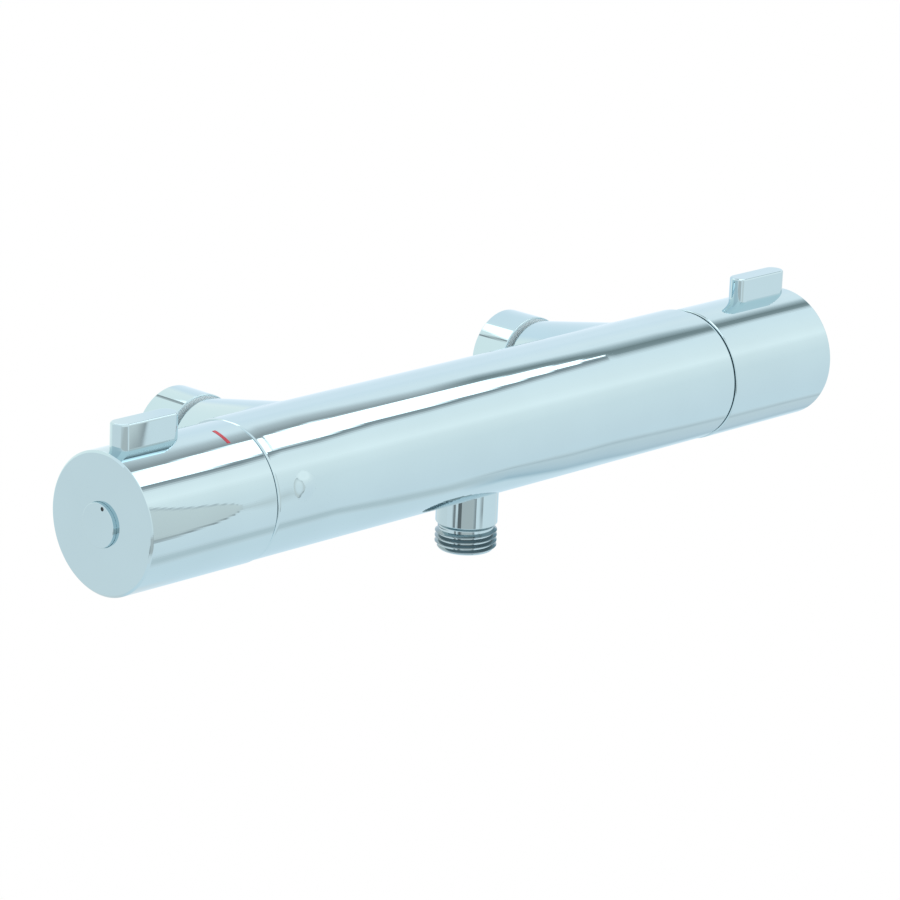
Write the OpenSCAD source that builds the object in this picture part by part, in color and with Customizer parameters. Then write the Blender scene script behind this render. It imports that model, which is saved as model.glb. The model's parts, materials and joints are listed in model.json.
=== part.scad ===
// Wall mounted thermostatic shower valve: a round bar with a temperature knob on the left,
// a flow knob on the right, two union nuts behind and a threaded outlet below.
// Millimetres. The origin is midway between the inlets, in the plane of their sealing mouths.
// X runs along the bar to the right, Y runs into the wall and Z runs up.

/* [Bar] */
// Diameter of the body between the knobs
body_d = 45.6; // [44:0.1:50]
// Length of the body between the knobs
body_len = 221.3; // [216:0.1:240]
// How much deeper than round the body is towards the wall
body_rear_depth = 3; // [2.8:0.1:6]
// Distance from the bar's axis to the mouths of the inlets
wall_reach = 60; // [58:0.5:80]
// Distance between the centres of the two inlets
inlet_centres = 160; // [156:1:166]
// Length of the crowned ends of the body
body_crown_len = 1.2; // [1:0.1:1.4]
// How much the crowned ends drop below the body's diameter
body_crown_drop = 0.35; // [0.1:0.05:0.6]
// Bevel round the ends of the body
body_bevel = 0.4; // [0.2:0.1:0.8]
// Distance from each end of the body to the deeper rear part
rear_land_inset = 1.5; // [1.5:0.1:3]
// Radius of the shallow round dimple on the front of the body
dimple_r = 4; // [2:0.5:6]
// Depth of that dimple
dimple_depth = 0.3; // [0.1:0.1:0.8]
// Distance from the left end of the body to the dimple's centre
dimple_from_end = 12.3; // [8:0.1:30]

/* [Knobs] */
// Diameter of both knobs
knob_d = 46.2; // [45:0.1:52]
// Length of both knobs
knob_len = 52.9; // [52:0.1:64]
// Gap between a knob and the body
knob_gap = 0.5; // [0.3:0.1:1]
// Thickness of a knob's round wall
knob_wall = 2.6; // [2.2:0.1:3]
// Thickness of a knob's end wall
knob_end_wall = 4; // [3.8:0.1:5]
// Bevel round the outer end of a knob
knob_bevel = 0.7; // [0.3:0.1:1.5]
// Bevel round the inner end of a knob
knob_lip_bevel = 0.3; // [0.1:0.1:0.5]
// Length of the fin along the bar
fin_len = 25.5; // [18:0.5:32]
// Thickness of the fin
fin_w = 7.4; // [5:0.1:10]
// Height of the fin above the knob
fin_h = 8.3; // [5:0.1:14]
// Distance from the fin's outer end to the knob's end
fin_from_end = 4.3; // [2:0.1:12]
// Radius on the fin's top edge
fin_edge_r = 0.8; // [0.3:0.1:1.5]
// Turn of the temperature knob from rest to the hot stop, in degrees
hot_turn = 60; // [30:5:90]
// Turn of the temperature knob from rest to the cold stop, in degrees
cold_turn = 210; // [150:5:220]
// Turn of the flow knob from closed to fully open, in degrees
open_turn = 90; // [60:5:120]

/* [Screw caps] */
// Diameter of the cap over a knob's screw
cap_d = 14.2; // [12:0.1:16]
// How far the cap stands out of the knob's end
cap_rise = 1.4; // [0.8:0.1:2.5]
// Depth of the cap's seat in the knob's end
cap_seat_depth = 1.6; // [1:0.1:1.8]
// Bevel on the cap's edge
cap_bevel = 0.5; // [0.2:0.1:0.8]
// Radius of the pry hole at the cap's edge
pry_hole_r = 0.55; // [0.3:0.05:0.8]
// Depth of the pry hole
pry_hole_depth = 1.2; // [0.6:0.1:2]

/* [Inlets] */
// Outer diameter of the round union nuts
nut_d = 32; // [31:0.1:36]
// Length of a union nut
nut_len = 14; // [13.6:0.1:18]
// Minor diameter of the nut's 3/4 inch parallel pipe thread
nut_thread_d = 24.12; // [24:0.01:24.5]
// Length of the nut's threaded wall
nut_thread_len = 7.2; // [7:0.1:8]
// Thickness of the nut's front wall
nut_front_wall = 2.5; // [2:0.1:3]
// Bevel on the nut's rims
nut_bevel = 0.5; // [0.3:0.1:1]
// Gap between the nut's front face and the boss behind the bar
nut_boss_gap = 0.7; // [0.4:0.1:1.2]
// Diameter of the flat end of a boss
boss_face_d = 25.6; // [24.5:0.1:27]
// Radius of the shoulder round the end of a boss
boss_shoulder_r = 2.5; // [2:0.1:4]
// Diameter of a boss where it meets the bar
boss_root_d = 44.7; // [43:0.1:45.2]
// Distance from the bar's axis to the plane where a boss starts
boss_root_y = 6; // [5.5:0.1:8]
// Diameter of the union tail's shank
tail_d = 20.6; // [20:0.1:21]
// Diameter of the union tail's flange
tail_flange_d = 23.6; // [23:0.1:23.8]
// Thickness of the union tail's flange
tail_flange_h = 1.7; // [1.4:0.1:2]
// Length of the shank inside the boss
tail_insert_len = 14.3; // [13:0.1:15]
// Bore of the union tail
tail_bore_d = 15.2; // [15:0.1:15.4]
// Depth of the hexagon for the key at the tail's inner end
tail_hex_len = 5.5; // [4:0.1:6]
// Width across corners of the key's hexagon
tail_hex_d = 13.8; // [12:0.1:14]
// Thickness of the sealing washer with its filter
washer_h = 1.85; // [1.5:0.05:2]

/* [Check valves] */
// Travel of a check valve's poppet
poppet_travel = 3; // [2:0.1:3.2]
// Wall of a check valve's cage
cage_wall = 1.1; // [0.8:0.1:1.3]
// Thickness of the seat and of the guide web
cage_web = 2; // [1.5:0.1:2.2]
// Radius of the opening in the seat
seat_r = 4.6; // [4:0.1:5]
// Radius of the poppet's head
poppet_r = 5.6; // [5.3:0.1:5.8]
// Thickness of the poppet's head
poppet_h = 1.6; // [1.2:0.1:2]
// Radius of the poppet's stem
stem_r = 1.15; // [1:0.05:1.3]

/* [Outlet] */
// Major diameter of the outlet's 1/2 inch parallel pipe thread
outlet_d = 20.955; // [20.9:0.005:21]
// Distance from the bar's axis to the outlet's end
outlet_drop = 41.3; // [40:0.1:50]
// Length of the outlet's threaded stretch with its chamfer
outlet_thread_len = 7.6; // [7:0.1:8]
// Chamfer at the end of the thread
outlet_chamfer = 0.7; // [0.4:0.1:1]
// Length of the groove above the thread
outlet_relief_len = 2; // [1:0.1:3]
// Depth of the groove above the thread
outlet_relief_depth = 0.7; // [0.4:0.1:1]
// Bore of the outlet
outlet_bore_d = 14.4; // [12:0.1:15]
// Diameter of the nipple's thread in the body
nipple_spigot_d = 17.8; // [17:0.1:18.2]
// Length of that thread
nipple_spigot_len = 6.5; // [5:0.1:7]

/* [Waterways] */
// Diameter of the left bore, which holds the thermostatic cartridge
cartridge_bore_d = 33.2; // [33:0.1:33.6]
// Distance from the cold water ports to the bottom of the left bore
cartridge_end_room = 12.5; // [12:0.1:14]
// Diameter of the right bore, which holds the ceramic headwork
headwork_bore_d = 24.4; // [24:0.1:25]
// Depth of the right bore
headwork_depth = 62; // [61.5:0.1:64]
// Diameter of the mixed water channel between the bores
mix_channel_d = 13; // [10:0.5:13]
// Diameter of the water galleries behind the bores
cold_gallery_d = 6.4; // [5:0.1:6.5]
// Diameter of the gallery back to the outlet
outlet_gallery_d = 5.2; // [4:0.1:5.4]
// Diameter of the channels from the inlets
inlet_channel_d = 12; // [9:0.5:12]
// Room between a spigot and the bore of the knob round it
spigot_room = 1.9; // [1.7:0.1:2]
// Length of the spigots under the knobs
spigot_len = 13.35; // [12.5:0.05:14]

/* [Hidden] */
$fn = 96;

// Shared clearances and the overrun of every cut
cut = 1;
fit = 0.1;
running = 0.06;
face_gap = 0.05;
ring_squeeze = 0.02;

// Bar: distances are outwards from the middle, radii are from the bar's axis
body_r = body_d / 2;
body_end = body_len / 2;
crown_r = (body_crown_len * body_crown_len + body_crown_drop * body_crown_drop) / (2 * body_crown_drop);
rear_land_end = body_end - rear_land_inset;
spigot_end = body_end + spigot_len;
glide_groove_depth = 0.6;
glide_len = 6;
glide_start = body_end + 2.4 * glide_groove_depth + knob_gap;
inlet_x = inlet_centres / 2;
dimple_angle = 77;

// Knobs
knob_r = knob_d / 2;
knob_start = body_end + knob_gap;
knob_end = knob_start + knob_len;
knob_bore_r = knob_r - knob_wall;
spigot_r = knob_bore_r - spigot_room;
knob_floor = knob_end - knob_end_wall;
fin_x = knob_end - fin_from_end - fin_len / 2;
fin_root = knob_r - knob_wall / 2;
hub_r = 10.6;
hub_len = 14;
hub_start = knob_floor - hub_len;
insert_hex_r = 8;
insert_cap = 1.5;
insert_end = knob_floor - face_gap;
insert_start = hub_start - face_gap;
spline_r = 5.3;
spline_squares = 6;
spline_len = 14;
spline_end = insert_end - insert_cap - face_gap;
spline_start = spline_end - spline_len;
cap_r = cap_d / 2;
cap_seat = knob_end - cap_seat_depth;
pry_hole_angle = 18;
screw_r = 2;
screw_hole_r = 2.4;
screw_head_r = 3.8;
screw_head_h = 1.9;
screw_head_pocket_r = 4.1;
screw_head_seat = cap_seat - screw_head_h - face_gap;
screw_len = 11;
screw_key_r = 1.7;
screw_key_depth = 1.1;
screw_hole_depth = 13;
mark_w = 1.3;
mark_depth = 0.3;
mark_from_body = 9.9;
mark_angle = 9;
mark_sweep = 18.5;

// Stops: a tab inside the knob meets the lug of a stop ring, angles are from the top to the front
stop_gap = 6;
stop_start = spigot_end + stop_gap;
stop_w = 3.5;
stop_ring_r = 15.6;
stop_lug_r = 19.4;
tab_r = 17.8;
tab_angle = 180;
tab_sweep = 20;
stop_slack = 1;
nose_star_r = 12.2;
nose_end = stop_start + stop_w + 1.2 * fit;
wedge_share = 1.5;
wedge_steps = 12;

// Spindles and their seal
spindle_r = 6;
spindle_bore_r = spindle_r + running;
o_wire = 1.5;
o_groove_w = 1.9;
spindle_groove = stop_start - 4 * o_groove_w;

// Thermostatic cartridge, distances outwards from the middle of the bar
port_setback = 44;
hot_port_x = spigot_end - port_setback;
port_spacing = 17;
cold_port_x = hot_port_x - port_spacing;
cartridge_bore_floor = cold_port_x - cartridge_end_room;
sleeve_r = cartridge_bore_d / 2 - fit;
sleeve_start = cartridge_bore_floor + 2 * fit;
collar_setback = 5.6;
sleeve_collar_end = spigot_end - collar_setback;
ring_nut_h = 6;
ring_nut_start = sleeve_collar_end + face_gap;
ring_nut_bore_r = nose_star_r + 4 * fit;
ring_nut_slot_w = 4;
ring_nut_slot_h = 2.5;
ring_nut_slots = 4;
waist_depth = 1.9;
waist_r = sleeve_r - waist_depth;
hot_waist_half = 6;
cold_waist_half = 5.6;
port_r = 2.2;
ports = 6;
shuttle_bore_r = 12;
chamber_reach = 10;
chamber_end = hot_port_x + chamber_reach;
nut_bore_r = 9;
thrust_setback = 1.2;
thrust_seat = sleeve_collar_end + thrust_setback;
end_seat_h = 3.7;
end_seat_bore_r = 8.5;
first_groove_inset = 1.3;
groove_before_port = 9.5;
groove_past_port = 8;
sleeve_grooves = [sleeve_start + first_groove_inset, hot_port_x - groove_before_port, hot_port_x + groove_past_port];
sleeve_o_wire = 1.9;
sleeve_groove_w = 2.3;
key_w = 3;
key_h = 1;

// Regulating nut, overload spring, wax element and shuttle
thrust_flange_r = nut_bore_r - 2 * fit;
thrust_flange_h = 2.5;
thrust_flange_start = thrust_seat - fit - thrust_flange_h;
screw_stem_r = 5;
reg_nut_r = nut_bore_r - 3 * fit;
reg_end_gap = 4;
reg_thread_end = thrust_flange_start - reg_end_gap;
reg_thread_len = 12;
reg_cup_floor = reg_thread_end - reg_thread_len;
reg_cup_depth = 13.5;
reg_cup_start = reg_cup_floor - reg_cup_depth;
reg_cup_bore_r = 7;
reg_ring_w = 1;
reg_ring_bore_r = 5.2;
plunger_h = 1.8;
plunger_start = reg_cup_start + reg_ring_w + face_gap;
overload_wire_r = 0.8;
overload_turns = 5;
piston_r = 1.6;
piston_tip = plunger_start - face_gap;
element_r = 5.2;
element_neck_setback = 1;
element_neck = hot_port_x - element_neck_setback;
element_reach = 22;
element_end = hot_port_x - element_reach;
element_collar_r = 7.5;
element_collar_h = 2;
shuttle_r = shuttle_bore_r - running;
shuttle_wall = 1.1;
port_lap = 0.5;
shuttle_end = hot_port_x - port_lap;
shuttle_start = cold_port_x + port_lap;
shuttle_web_h = 2;
shuttle_web_setback = 8;
shuttle_web = hot_port_x - shuttle_web_setback - shuttle_web_h;
shuttle_hole_r = 1.4;
shuttle_holes = 8;
return_wire_r = 0.6;
return_turns = 5;
return_coil_r = 9.8;

// Ceramic headwork, distances outwards from the middle of the bar
headwork_bore_r = headwork_bore_d / 2;
headwork_bore_floor = spigot_end - headwork_depth;
housing_r = headwork_bore_r - fit;
housing_start = headwork_bore_floor + 3 * fit;
housing_waist_r = 10.9;
housing_waist_len = 18;
housing_waist_end = headwork_bore_floor + housing_waist_len;
housing_hex_r = 13.8;
housing_hex_h = 4.8;
disc_chamber_r = 9.6;
disc_r = disc_chamber_r - 2 * fit;
lip_seal_bore_r = 6;
lip_seal_start = headwork_bore_floor + 2 * ring_squeeze;
lip_seal_h = 2.6;
disc_h = 3.2;
disc_slip = 0.02;
fixed_disc_start = lip_seal_start + lip_seal_h;
moving_disc_start = fixed_disc_start + disc_h + disc_slip;
moving_disc_end = moving_disc_start + disc_h;
disc_slot_w = 3;
disc_slot_depth = 2;
disc_port_inner_r = 3;
disc_port_outer_r = 7;
disc_port_sweep = 76;
driver_h = 2;
window_r = 2.3;
windows = 4;
window_x = moving_disc_end + driver_h + window_r;
flow_flange_h = 1.3;
flow_thrust_seat = window_x + window_r + flow_flange_h + 2 * fit;
flow_flange_r = 9.3;
housing_groove_gap = 8;
housing_groove = housing_waist_end + housing_groove_gap;

// Inlets, distances towards the wall from the bar's axis
nut_front = wall_reach - nut_len;
boss_end = nut_front - nut_boss_gap;
boss_face_r = boss_face_d / 2;
boss_root_r = boss_root_d / 2;
shoulder_y = boss_end - boss_shoulder_r;
// The flank is tangent to the shoulder's arc
flank_lean = boss_lean(0, 6);
flank_y = shoulder_y + boss_shoulder_r * sin(flank_lean);
flank_r = boss_face_r + boss_shoulder_r * cos(flank_lean);
tail_r = tail_d / 2;
tail_hole_r = tail_r + fit;
tail_start = boss_end - tail_insert_len;
tail_hole_floor = tail_start - 5 * fit;
nut_shelf = nut_front + nut_front_wall;
nut_hole_r = tail_r + 3 * fit;
nut_thread_r = nut_thread_d / 2;
nut_relief_depth = 1.2;
nut_relief_r = nut_thread_r + nut_relief_depth;
nut_thread_start = wall_reach - nut_bevel - nut_thread_len;
flange_start = nut_shelf + fit;
flange_end = flange_start + tail_flange_h;
flange_r = tail_flange_d / 2;
tail_bore_r = tail_bore_d / 2;
tail_hex_end = tail_start + tail_hex_len;
tail_groove_setback = 3;
tail_groove_y = boss_end - tail_groove_setback;
tail_o_wire = 1.3;
tail_groove_w = 1.7;
washer_r = nut_thread_r - 2 * fit;
washer_bore_r = 8;
filter_h = 0.5;
filter_hole_r = 0.8;
filter_rings = 3;
filter_pitch = 2.3;
filter_holes_first_ring = 6;

// Check valves
cage_r = tail_bore_r - 1.5 * fit;
cage_start = tail_hex_end + fit;
cage_end = flange_end - fit;
cage_seat = cage_end - cage_web;
guide_end = cage_start + cage_web;
guide_r = stem_r + 2 * running;
guide_hole_r = 1.5;
guide_holes = 4;
guide_hole_ring_r = 4.3;
poppet_top = cage_seat - face_gap;
poppet_foot = poppet_top - poppet_h;
stem_end = cage_start + 4 * fit;
check_wire_r = 0.35;
check_coil_r = 2.6;
check_turns = 6;

// Outlet, distances down from the bar's axis
outlet_r = outlet_d / 2;
outlet_bore_r = outlet_bore_d / 2;
nipple_top = 19.5;
outlet_pocket_r = outlet_r + fit;
seal_washer_h = 1;
outlet_pocket_top = nipple_top - seal_washer_h;
nipple_spigot_r = nipple_spigot_d / 2;
nipple_spigot_top = nipple_top - nipple_spigot_len;
nipple_hole_top = nipple_spigot_top - 2 * fit;
outlet_chamber_r = 6.8;
outlet_chamber_top = 8.8;
nipple_key_r = 6.6;

// Galleries
gallery_wall = 0.8;
gallery_y = cartridge_bore_d / 2 + gallery_wall + cold_gallery_d / 2;
gallery_link_r = 2.8;
gallery_lap = 2;
gallery_link_y = 10;
channel_overlap = 2.4;
channel_floor = gallery_y - channel_overlap;
hot_gallery_r = cold_gallery_d / 2 - running;
outlet_gallery_z = 10.9;

// Springs: sides of the wire and rings in each turn
wire_sides = 6;
turn_rings = 14;

// Lean of a boss's flank, found by repeating the tangent condition a few times
function boss_lean(lean, steps) =
    steps == 0 ? lean :
    boss_lean(
        atan(
            (boss_root_r - boss_face_r - boss_shoulder_r * cos(lean)) /
            (shoulder_y + boss_shoulder_r * sin(lean) - boss_root_y)
        ),
        steps - 1
    );

// Moves the bar's axis to its place in front of the wall
module place() translate([0, -wall_reach, 0]) children();

// The left half is drawn outwards like the right half and mirrored
module left() mirror([1, 0, 0]) children();

// Turns a feature from the top of the bar towards the front
module from_top(angle) rotate([angle, 0, 0]) children();

// Revolves an outline of [radius, distance] about the X, Y or downward axis
module spun_x() rotate([0, 90, 0]) rotate_extrude() children();
module spun_y() rotate([-90, 0, 0]) rotate_extrude() children();
module spun_down() rotate([180, 0, 0]) rotate_extrude() children();

// Rods and tubes from one distance to another
module rod_x(from, to, r) translate([from, 0, 0]) rotate([0, 90, 0]) cylinder(h = to - from, r = r);
module rod_y(from, to, r) translate([0, from, 0]) rotate([-90, 0, 0]) cylinder(h = to - from, r = r);
module rod_down(from, to, r) translate([0, 0, -to]) cylinder(h = to - from, r = r);

module tube_x(from, to, r, bore_r) {
    difference() {
        rod_x(from, to, r);
        rod_x(from - cut, to + cut, bore_r);
    }
}

module tube_y(from, to, r, bore_r) {
    difference() {
        rod_y(from, to, r);
        rod_y(from - cut, to + cut, bore_r);
    }
}

// A six sided prism along the X or Y axis
module hex_x(from, to, r) translate([from, 0, 0]) rotate([0, 90, 0]) cylinder(h = to - from, r = r, $fn = 6);
module hex_y(from, to, r) translate([0, from, 0]) rotate([-90, 0, 0]) cylinder(h = to - from, r = r, $fn = 6);

// A splined bar along the X axis, with four teeth for each square
module star_x(from, to, r) {
    side = r * sqrt(2);
    translate([from, 0, 0])
        rotate([0, 90, 0])
            linear_extrude(to - from)
                for (i = [0 : spline_squares - 1])
                    rotate(i * 90 / spline_squares)
                        square([side, side], center = true);
}

// A rubber ring about the X or Y axis
module o_ring_x(at, r, wire) translate([at, 0, 0]) rotate([0, 90, 0]) rotate_extrude() translate([r, 0]) circle(d = wire);
module o_ring_y(at, r, wire) translate([0, at, 0]) rotate([-90, 0, 0]) rotate_extrude() translate([r, 0]) circle(d = wire);

// A sector of a disc along the X axis, from one angle to another, from the top to the front
module sector_x(from, to, r, start, sweep) {
    reach = r * wedge_share;
    translate([from, 0, 0])
        rotate([0, 90, 0])
            linear_extrude(to - from)
                intersection() {
                    circle(r);
                    polygon(concat(
                        [[0, 0]],
                        [for (i = [0 : wedge_steps])
                            let (a = start + sweep * i / wedge_steps)
                            [-reach * cos(a), -reach * sin(a)]]
                    ));
                }
}

// A coil spring along the Z axis, one unbroken round wire
module coil(coil_r, wire_r, length, turns) {
    rings = turns * turn_rings;
    rise = length - 2 * wire_r;
    points = [
        for (i = [0 : rings])
            let (a = 360 * i / turn_rings, z = wire_r + rise * i / rings)
            for (j = [0 : wire_sides - 1])
                let (b = 360 * j / wire_sides, r = coil_r + wire_r * cos(b))
                [r * cos(a), r * sin(a), z + wire_r * sin(b)]
    ];
    sides = [
        for (i = [0 : rings - 1])
            for (j = [0 : wire_sides - 1])
                let (k = (j + 1) % wire_sides, p = i * wire_sides, q = p + wire_sides)
                [p + j, p + k, q + k, q + j]
    ];
    first = [for (j = [wire_sides - 1 : -1 : 0]) j];
    last = [for (j = [0 : wire_sides - 1]) rings * wire_sides + j];
    polyhedron(points, concat([first], sides, [last]), convexity = 2);
}

// Outline of the round body beyond its deeper rear part, with its crown and bevel
module body_end_outline() {
    crown_start = body_end - body_crown_len;
    difference() {
        union() {
            intersection() {
                translate([0, crown_start])
                    square([body_r, body_crown_len]);
                translate([body_r - crown_r, crown_start])
                    circle(crown_r, $fn = 720);
            }
            translate([0, crown_start])
                square([body_r - crown_r, body_crown_len]);
        }
        translate([body_r - body_crown_drop, body_end])
            rotate(45)
                square([body_bevel * sqrt(2), body_bevel * sqrt(2)], center = true);
    }
    translate([0, rear_land_end])
        square([body_r, crown_start - rear_land_end]);
}

// The body's section: a circle drawn out towards the wall
module body_section() {
    circle(body_r, $fn = 180);
    translate([0, body_rear_depth])
        circle(body_r, $fn = 180);
    translate([-body_r, 0])
        square([body_d, body_rear_depth]);
}

module half_body_outside() {
    spun_x()
        body_end_outline();
    rod_x(body_end - body_crown_len, spigot_end, spigot_r);
}

// A boss behind the bar: a cone with a rounded shoulder at the union nut
module boss() {
    spun_y() {
        polygon([
            [0, boss_root_y],
            [boss_root_r, boss_root_y],
            [flank_r, flank_y],
            [boss_face_r, shoulder_y],
            [0, shoulder_y]
        ]);
        translate([0, shoulder_y - fit])
            square([boss_face_r, boss_end - shoulder_y + fit]);
        translate([boss_face_r, shoulder_y])
            circle(boss_shoulder_r);
    }
}

module body_outside() {
    core_end = body_end - body_crown_len / 2;
    rod_x(-core_end, core_end, body_r - body_crown_drop);
    union() {
        rotate([0, 90, 0])
            linear_extrude(2 * rear_land_end, center = true)
                body_section();
        for (side = [-1, 1])
            intersection() {
                translate([side * inlet_x, 0, 0])
                    boss();
                translate([-rear_land_end, 0, -boss_root_r - cut])
                    cube([2 * rear_land_end, wall_reach, 2 * (boss_root_r + cut)]);
            }
    }
    half_body_outside();
    left()
        half_body_outside();
}

module glide_groove() {
    tube_x(glide_start - fit, glide_start + glide_len + fit, spigot_r + cut, spigot_r - glide_groove_depth);
}

module body_casting() {
    color("silver")
        place()
            difference() {
                body_outside();
                left()
                    rod_x(cartridge_bore_floor, spigot_end + cut, cartridge_bore_d / 2);
                rod_x(headwork_bore_floor, spigot_end + cut, headwork_bore_r);
                rod_x(-cartridge_bore_floor - cut, headwork_bore_floor + cut, mix_channel_d / 2);
                glide_groove();
                left()
                    glide_groove();
                for (side = [-1, 1])
                    translate([side * inlet_x, 0, 0])
                        rod_y(tail_hole_floor, boss_end + cut, tail_hole_r);
                for (side = [-1, 1])
                    translate([side * inlet_x, 0, 0])
                        rod_y(channel_floor, tail_hole_floor + cut, inlet_channel_d / 2);
                translate([0, gallery_y, 0]) {
                    rod_x(-cold_port_x, inlet_x, cold_gallery_d / 2);
                    left()
                        rod_x(min(hot_port_x, inlet_x) - gallery_lap, max(hot_port_x, inlet_x) + gallery_lap, hot_gallery_r);
                }
                for (port = [hot_port_x, cold_port_x])
                    translate([-port, 0, 0])
                        rod_y(gallery_link_y, gallery_y, gallery_link_r);
                translate([0, 0, -outlet_gallery_z])
                    rod_x(0, headwork_bore_floor + cut, outlet_gallery_d / 2);
                rod_down(outlet_chamber_top, nipple_hole_top + cut, outlet_chamber_r);
                rod_down(nipple_hole_top, nipple_top, nipple_spigot_r + fit);
                rod_down(outlet_pocket_top, body_r + cut, outlet_pocket_r);
                translate([dimple_from_end - body_end, 0, 0])
                    from_top(dimple_angle)
                        translate([0, 0, body_r - dimple_depth])
                            cylinder(h = cut, r = dimple_r);
            }
}

module outlet_nipple() {
    relief_end = outlet_drop - outlet_thread_len;
    color("silver")
        place()
            difference() {
                spun_down()
                    polygon([
                        [0, nipple_spigot_top],
                        [nipple_spigot_r, nipple_spigot_top],
                        [nipple_spigot_r, nipple_top],
                        [outlet_r, nipple_top],
                        [outlet_r, relief_end - outlet_relief_len],
                        [outlet_r - outlet_relief_depth, relief_end - outlet_relief_len + outlet_relief_depth],
                        [outlet_r - outlet_relief_depth, relief_end - outlet_relief_depth],
                        [outlet_r, relief_end],
                        [outlet_r, outlet_drop - outlet_chamfer],
                        [outlet_r - outlet_chamfer, outlet_drop],
                        [0, outlet_drop]
                    ]);
                rod_down(nipple_top, outlet_drop + cut, outlet_bore_r);
                translate([0, 0, -nipple_top - cut])
                    cylinder(h = nipple_spigot_len + 2 * cut, r = nipple_key_r, $fn = 6);
            }
}

module outlet_seal_washer() {
    color("dimgray")
        place()
            difference() {
                rod_down(outlet_pocket_top, nipple_top, outlet_r);
                rod_down(outlet_pocket_top - cut, nipple_top + cut, nipple_spigot_r + 2 * fit);
            }
}

// Inlet parts are drawn about the inlet's own axis
module at_inlet(side) place() translate([side * inlet_x, 0, 0]) children();

module inlet_tail() {
    color("gold")
        difference() {
            union() {
                rod_y(tail_start, flange_end, tail_r);
                rod_y(flange_start, flange_end, flange_r);
            }
            rod_y(tail_hex_end, flange_end + cut, tail_bore_r);
            hex_y(tail_start - cut, tail_hex_end + cut, tail_hex_d / 2);
            tube_y(tail_groove_y - tail_groove_w / 2, tail_groove_y + tail_groove_w / 2, tail_r + cut, tail_r - tail_o_wire);
        }
}

module tail_o_ring() {
    color("black")
        o_ring_y(tail_groove_y, tail_r + fit - ring_squeeze - tail_o_wire / 2, tail_o_wire);
}

module filter_washer() {
    color("dimgray")
        difference() {
            rod_y(flange_end + face_gap, flange_end + washer_h, washer_r);
            rod_y(flange_end + face_gap + filter_h, flange_end + washer_h + cut, washer_bore_r);
            rod_y(flange_end - cut, flange_end + washer_h, filter_hole_r);
            for (ring = [1 : filter_rings], i = [0 : ring * filter_holes_first_ring - 1])
                rotate([0, 360 * i / (ring * filter_holes_first_ring), 0])
                    translate([ring * filter_pitch, 0, 0])
                        rod_y(flange_end - cut, flange_end + washer_h, filter_hole_r);
        }
}

module check_valve_cage() {
    color("white")
        difference() {
            rod_y(cage_start, cage_end, cage_r);
            rod_y(guide_end, cage_seat, cage_r - cage_wall);
            rod_y(cage_seat - cut, cage_end + cut, seat_r);
            rod_y(cage_start - cut, guide_end + cut, guide_r);
            for (i = [0 : guide_holes - 1])
                rotate([0, 360 * i / guide_holes, 0])
                    translate([guide_hole_ring_r, 0, 0])
                        rod_y(cage_start - cut, guide_end + cut, guide_hole_r);
        }
}

module check_valve_spring() {
    color("lightgray")
        translate([0, guide_end + face_gap, 0])
            rotate([-90, 0, 0])
                coil(check_coil_r, check_wire_r, poppet_foot - guide_end - 2 * face_gap, check_turns);
}

module check_valve_poppet() {
    color("black") {
        rod_y(poppet_foot, poppet_top, poppet_r);
        rod_y(stem_end, poppet_foot, stem_r);
    }
}

module union_nut() {
    color("silver")
        difference() {
            spun_y()
                polygon([
                    [0, nut_front],
                    [nut_d / 2 - nut_bevel, nut_front],
                    [nut_d / 2, nut_front + nut_bevel],
                    [nut_d / 2, wall_reach - nut_bevel],
                    [nut_d / 2 - nut_bevel, wall_reach],
                    [0, wall_reach]
                ]);
            rod_y(nut_front - cut, nut_shelf + cut, nut_hole_r);
            rod_y(nut_shelf, nut_thread_start, nut_relief_r);
            rod_y(nut_shelf, wall_reach + cut, nut_thread_r);
            spun_y()
                polygon([
                    [0, wall_reach - nut_bevel],
                    [nut_thread_r, wall_reach - nut_bevel],
                    [nut_thread_r + nut_bevel + cut, wall_reach + cut],
                    [0, wall_reach + cut]
                ]);
        }
}

// Thermostatic cartridge, drawn outwards and mirrored to the left
module at_left() place() left() children();

module cartridge_sleeve() {
    color("burlywood")
        at_left()
            difference() {
                union() {
                    rod_x(sleeve_start, sleeve_collar_end, sleeve_r);
                    star_x(sleeve_collar_end - fit, nose_end, nose_star_r);
                }
                tube_x(hot_port_x - hot_waist_half, hot_port_x + hot_waist_half, sleeve_r + cut, waist_r);
                tube_x(cold_port_x - cold_waist_half, cold_port_x + cold_waist_half, sleeve_r + cut, waist_r);
                for (at = sleeve_grooves)
                    tube_x(at, at + sleeve_groove_w, sleeve_r + cut, sleeve_r - sleeve_o_wire);
                rod_x(sleeve_start - cut, chamber_end, shuttle_bore_r);
                rod_x(chamber_end - cut, thrust_seat, nut_bore_r);
                rod_x(thrust_seat - cut, nose_end + cut, spindle_bore_r);
                for (turn = [0, 180])
                    from_top(turn)
                        translate([chamber_end - cut, -(key_w / 2 + fit), 0])
                            cube([reg_thread_end - chamber_end + 3 * cut, key_w + 2 * fit, nut_bore_r + key_h]);
                for (i = [0 : ports - 1], port = [hot_port_x, cold_port_x])
                    from_top(360 * i / ports)
                        translate([port, 0, 0])
                            cylinder(h = sleeve_r + cut, r = port_r);
            }
}

module cartridge_o_rings() {
    color("black")
        at_left()
            for (at = sleeve_grooves)
                o_ring_x(at + sleeve_groove_w / 2, sleeve_r + fit - ring_squeeze - sleeve_o_wire / 2, sleeve_o_wire);
}

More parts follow.
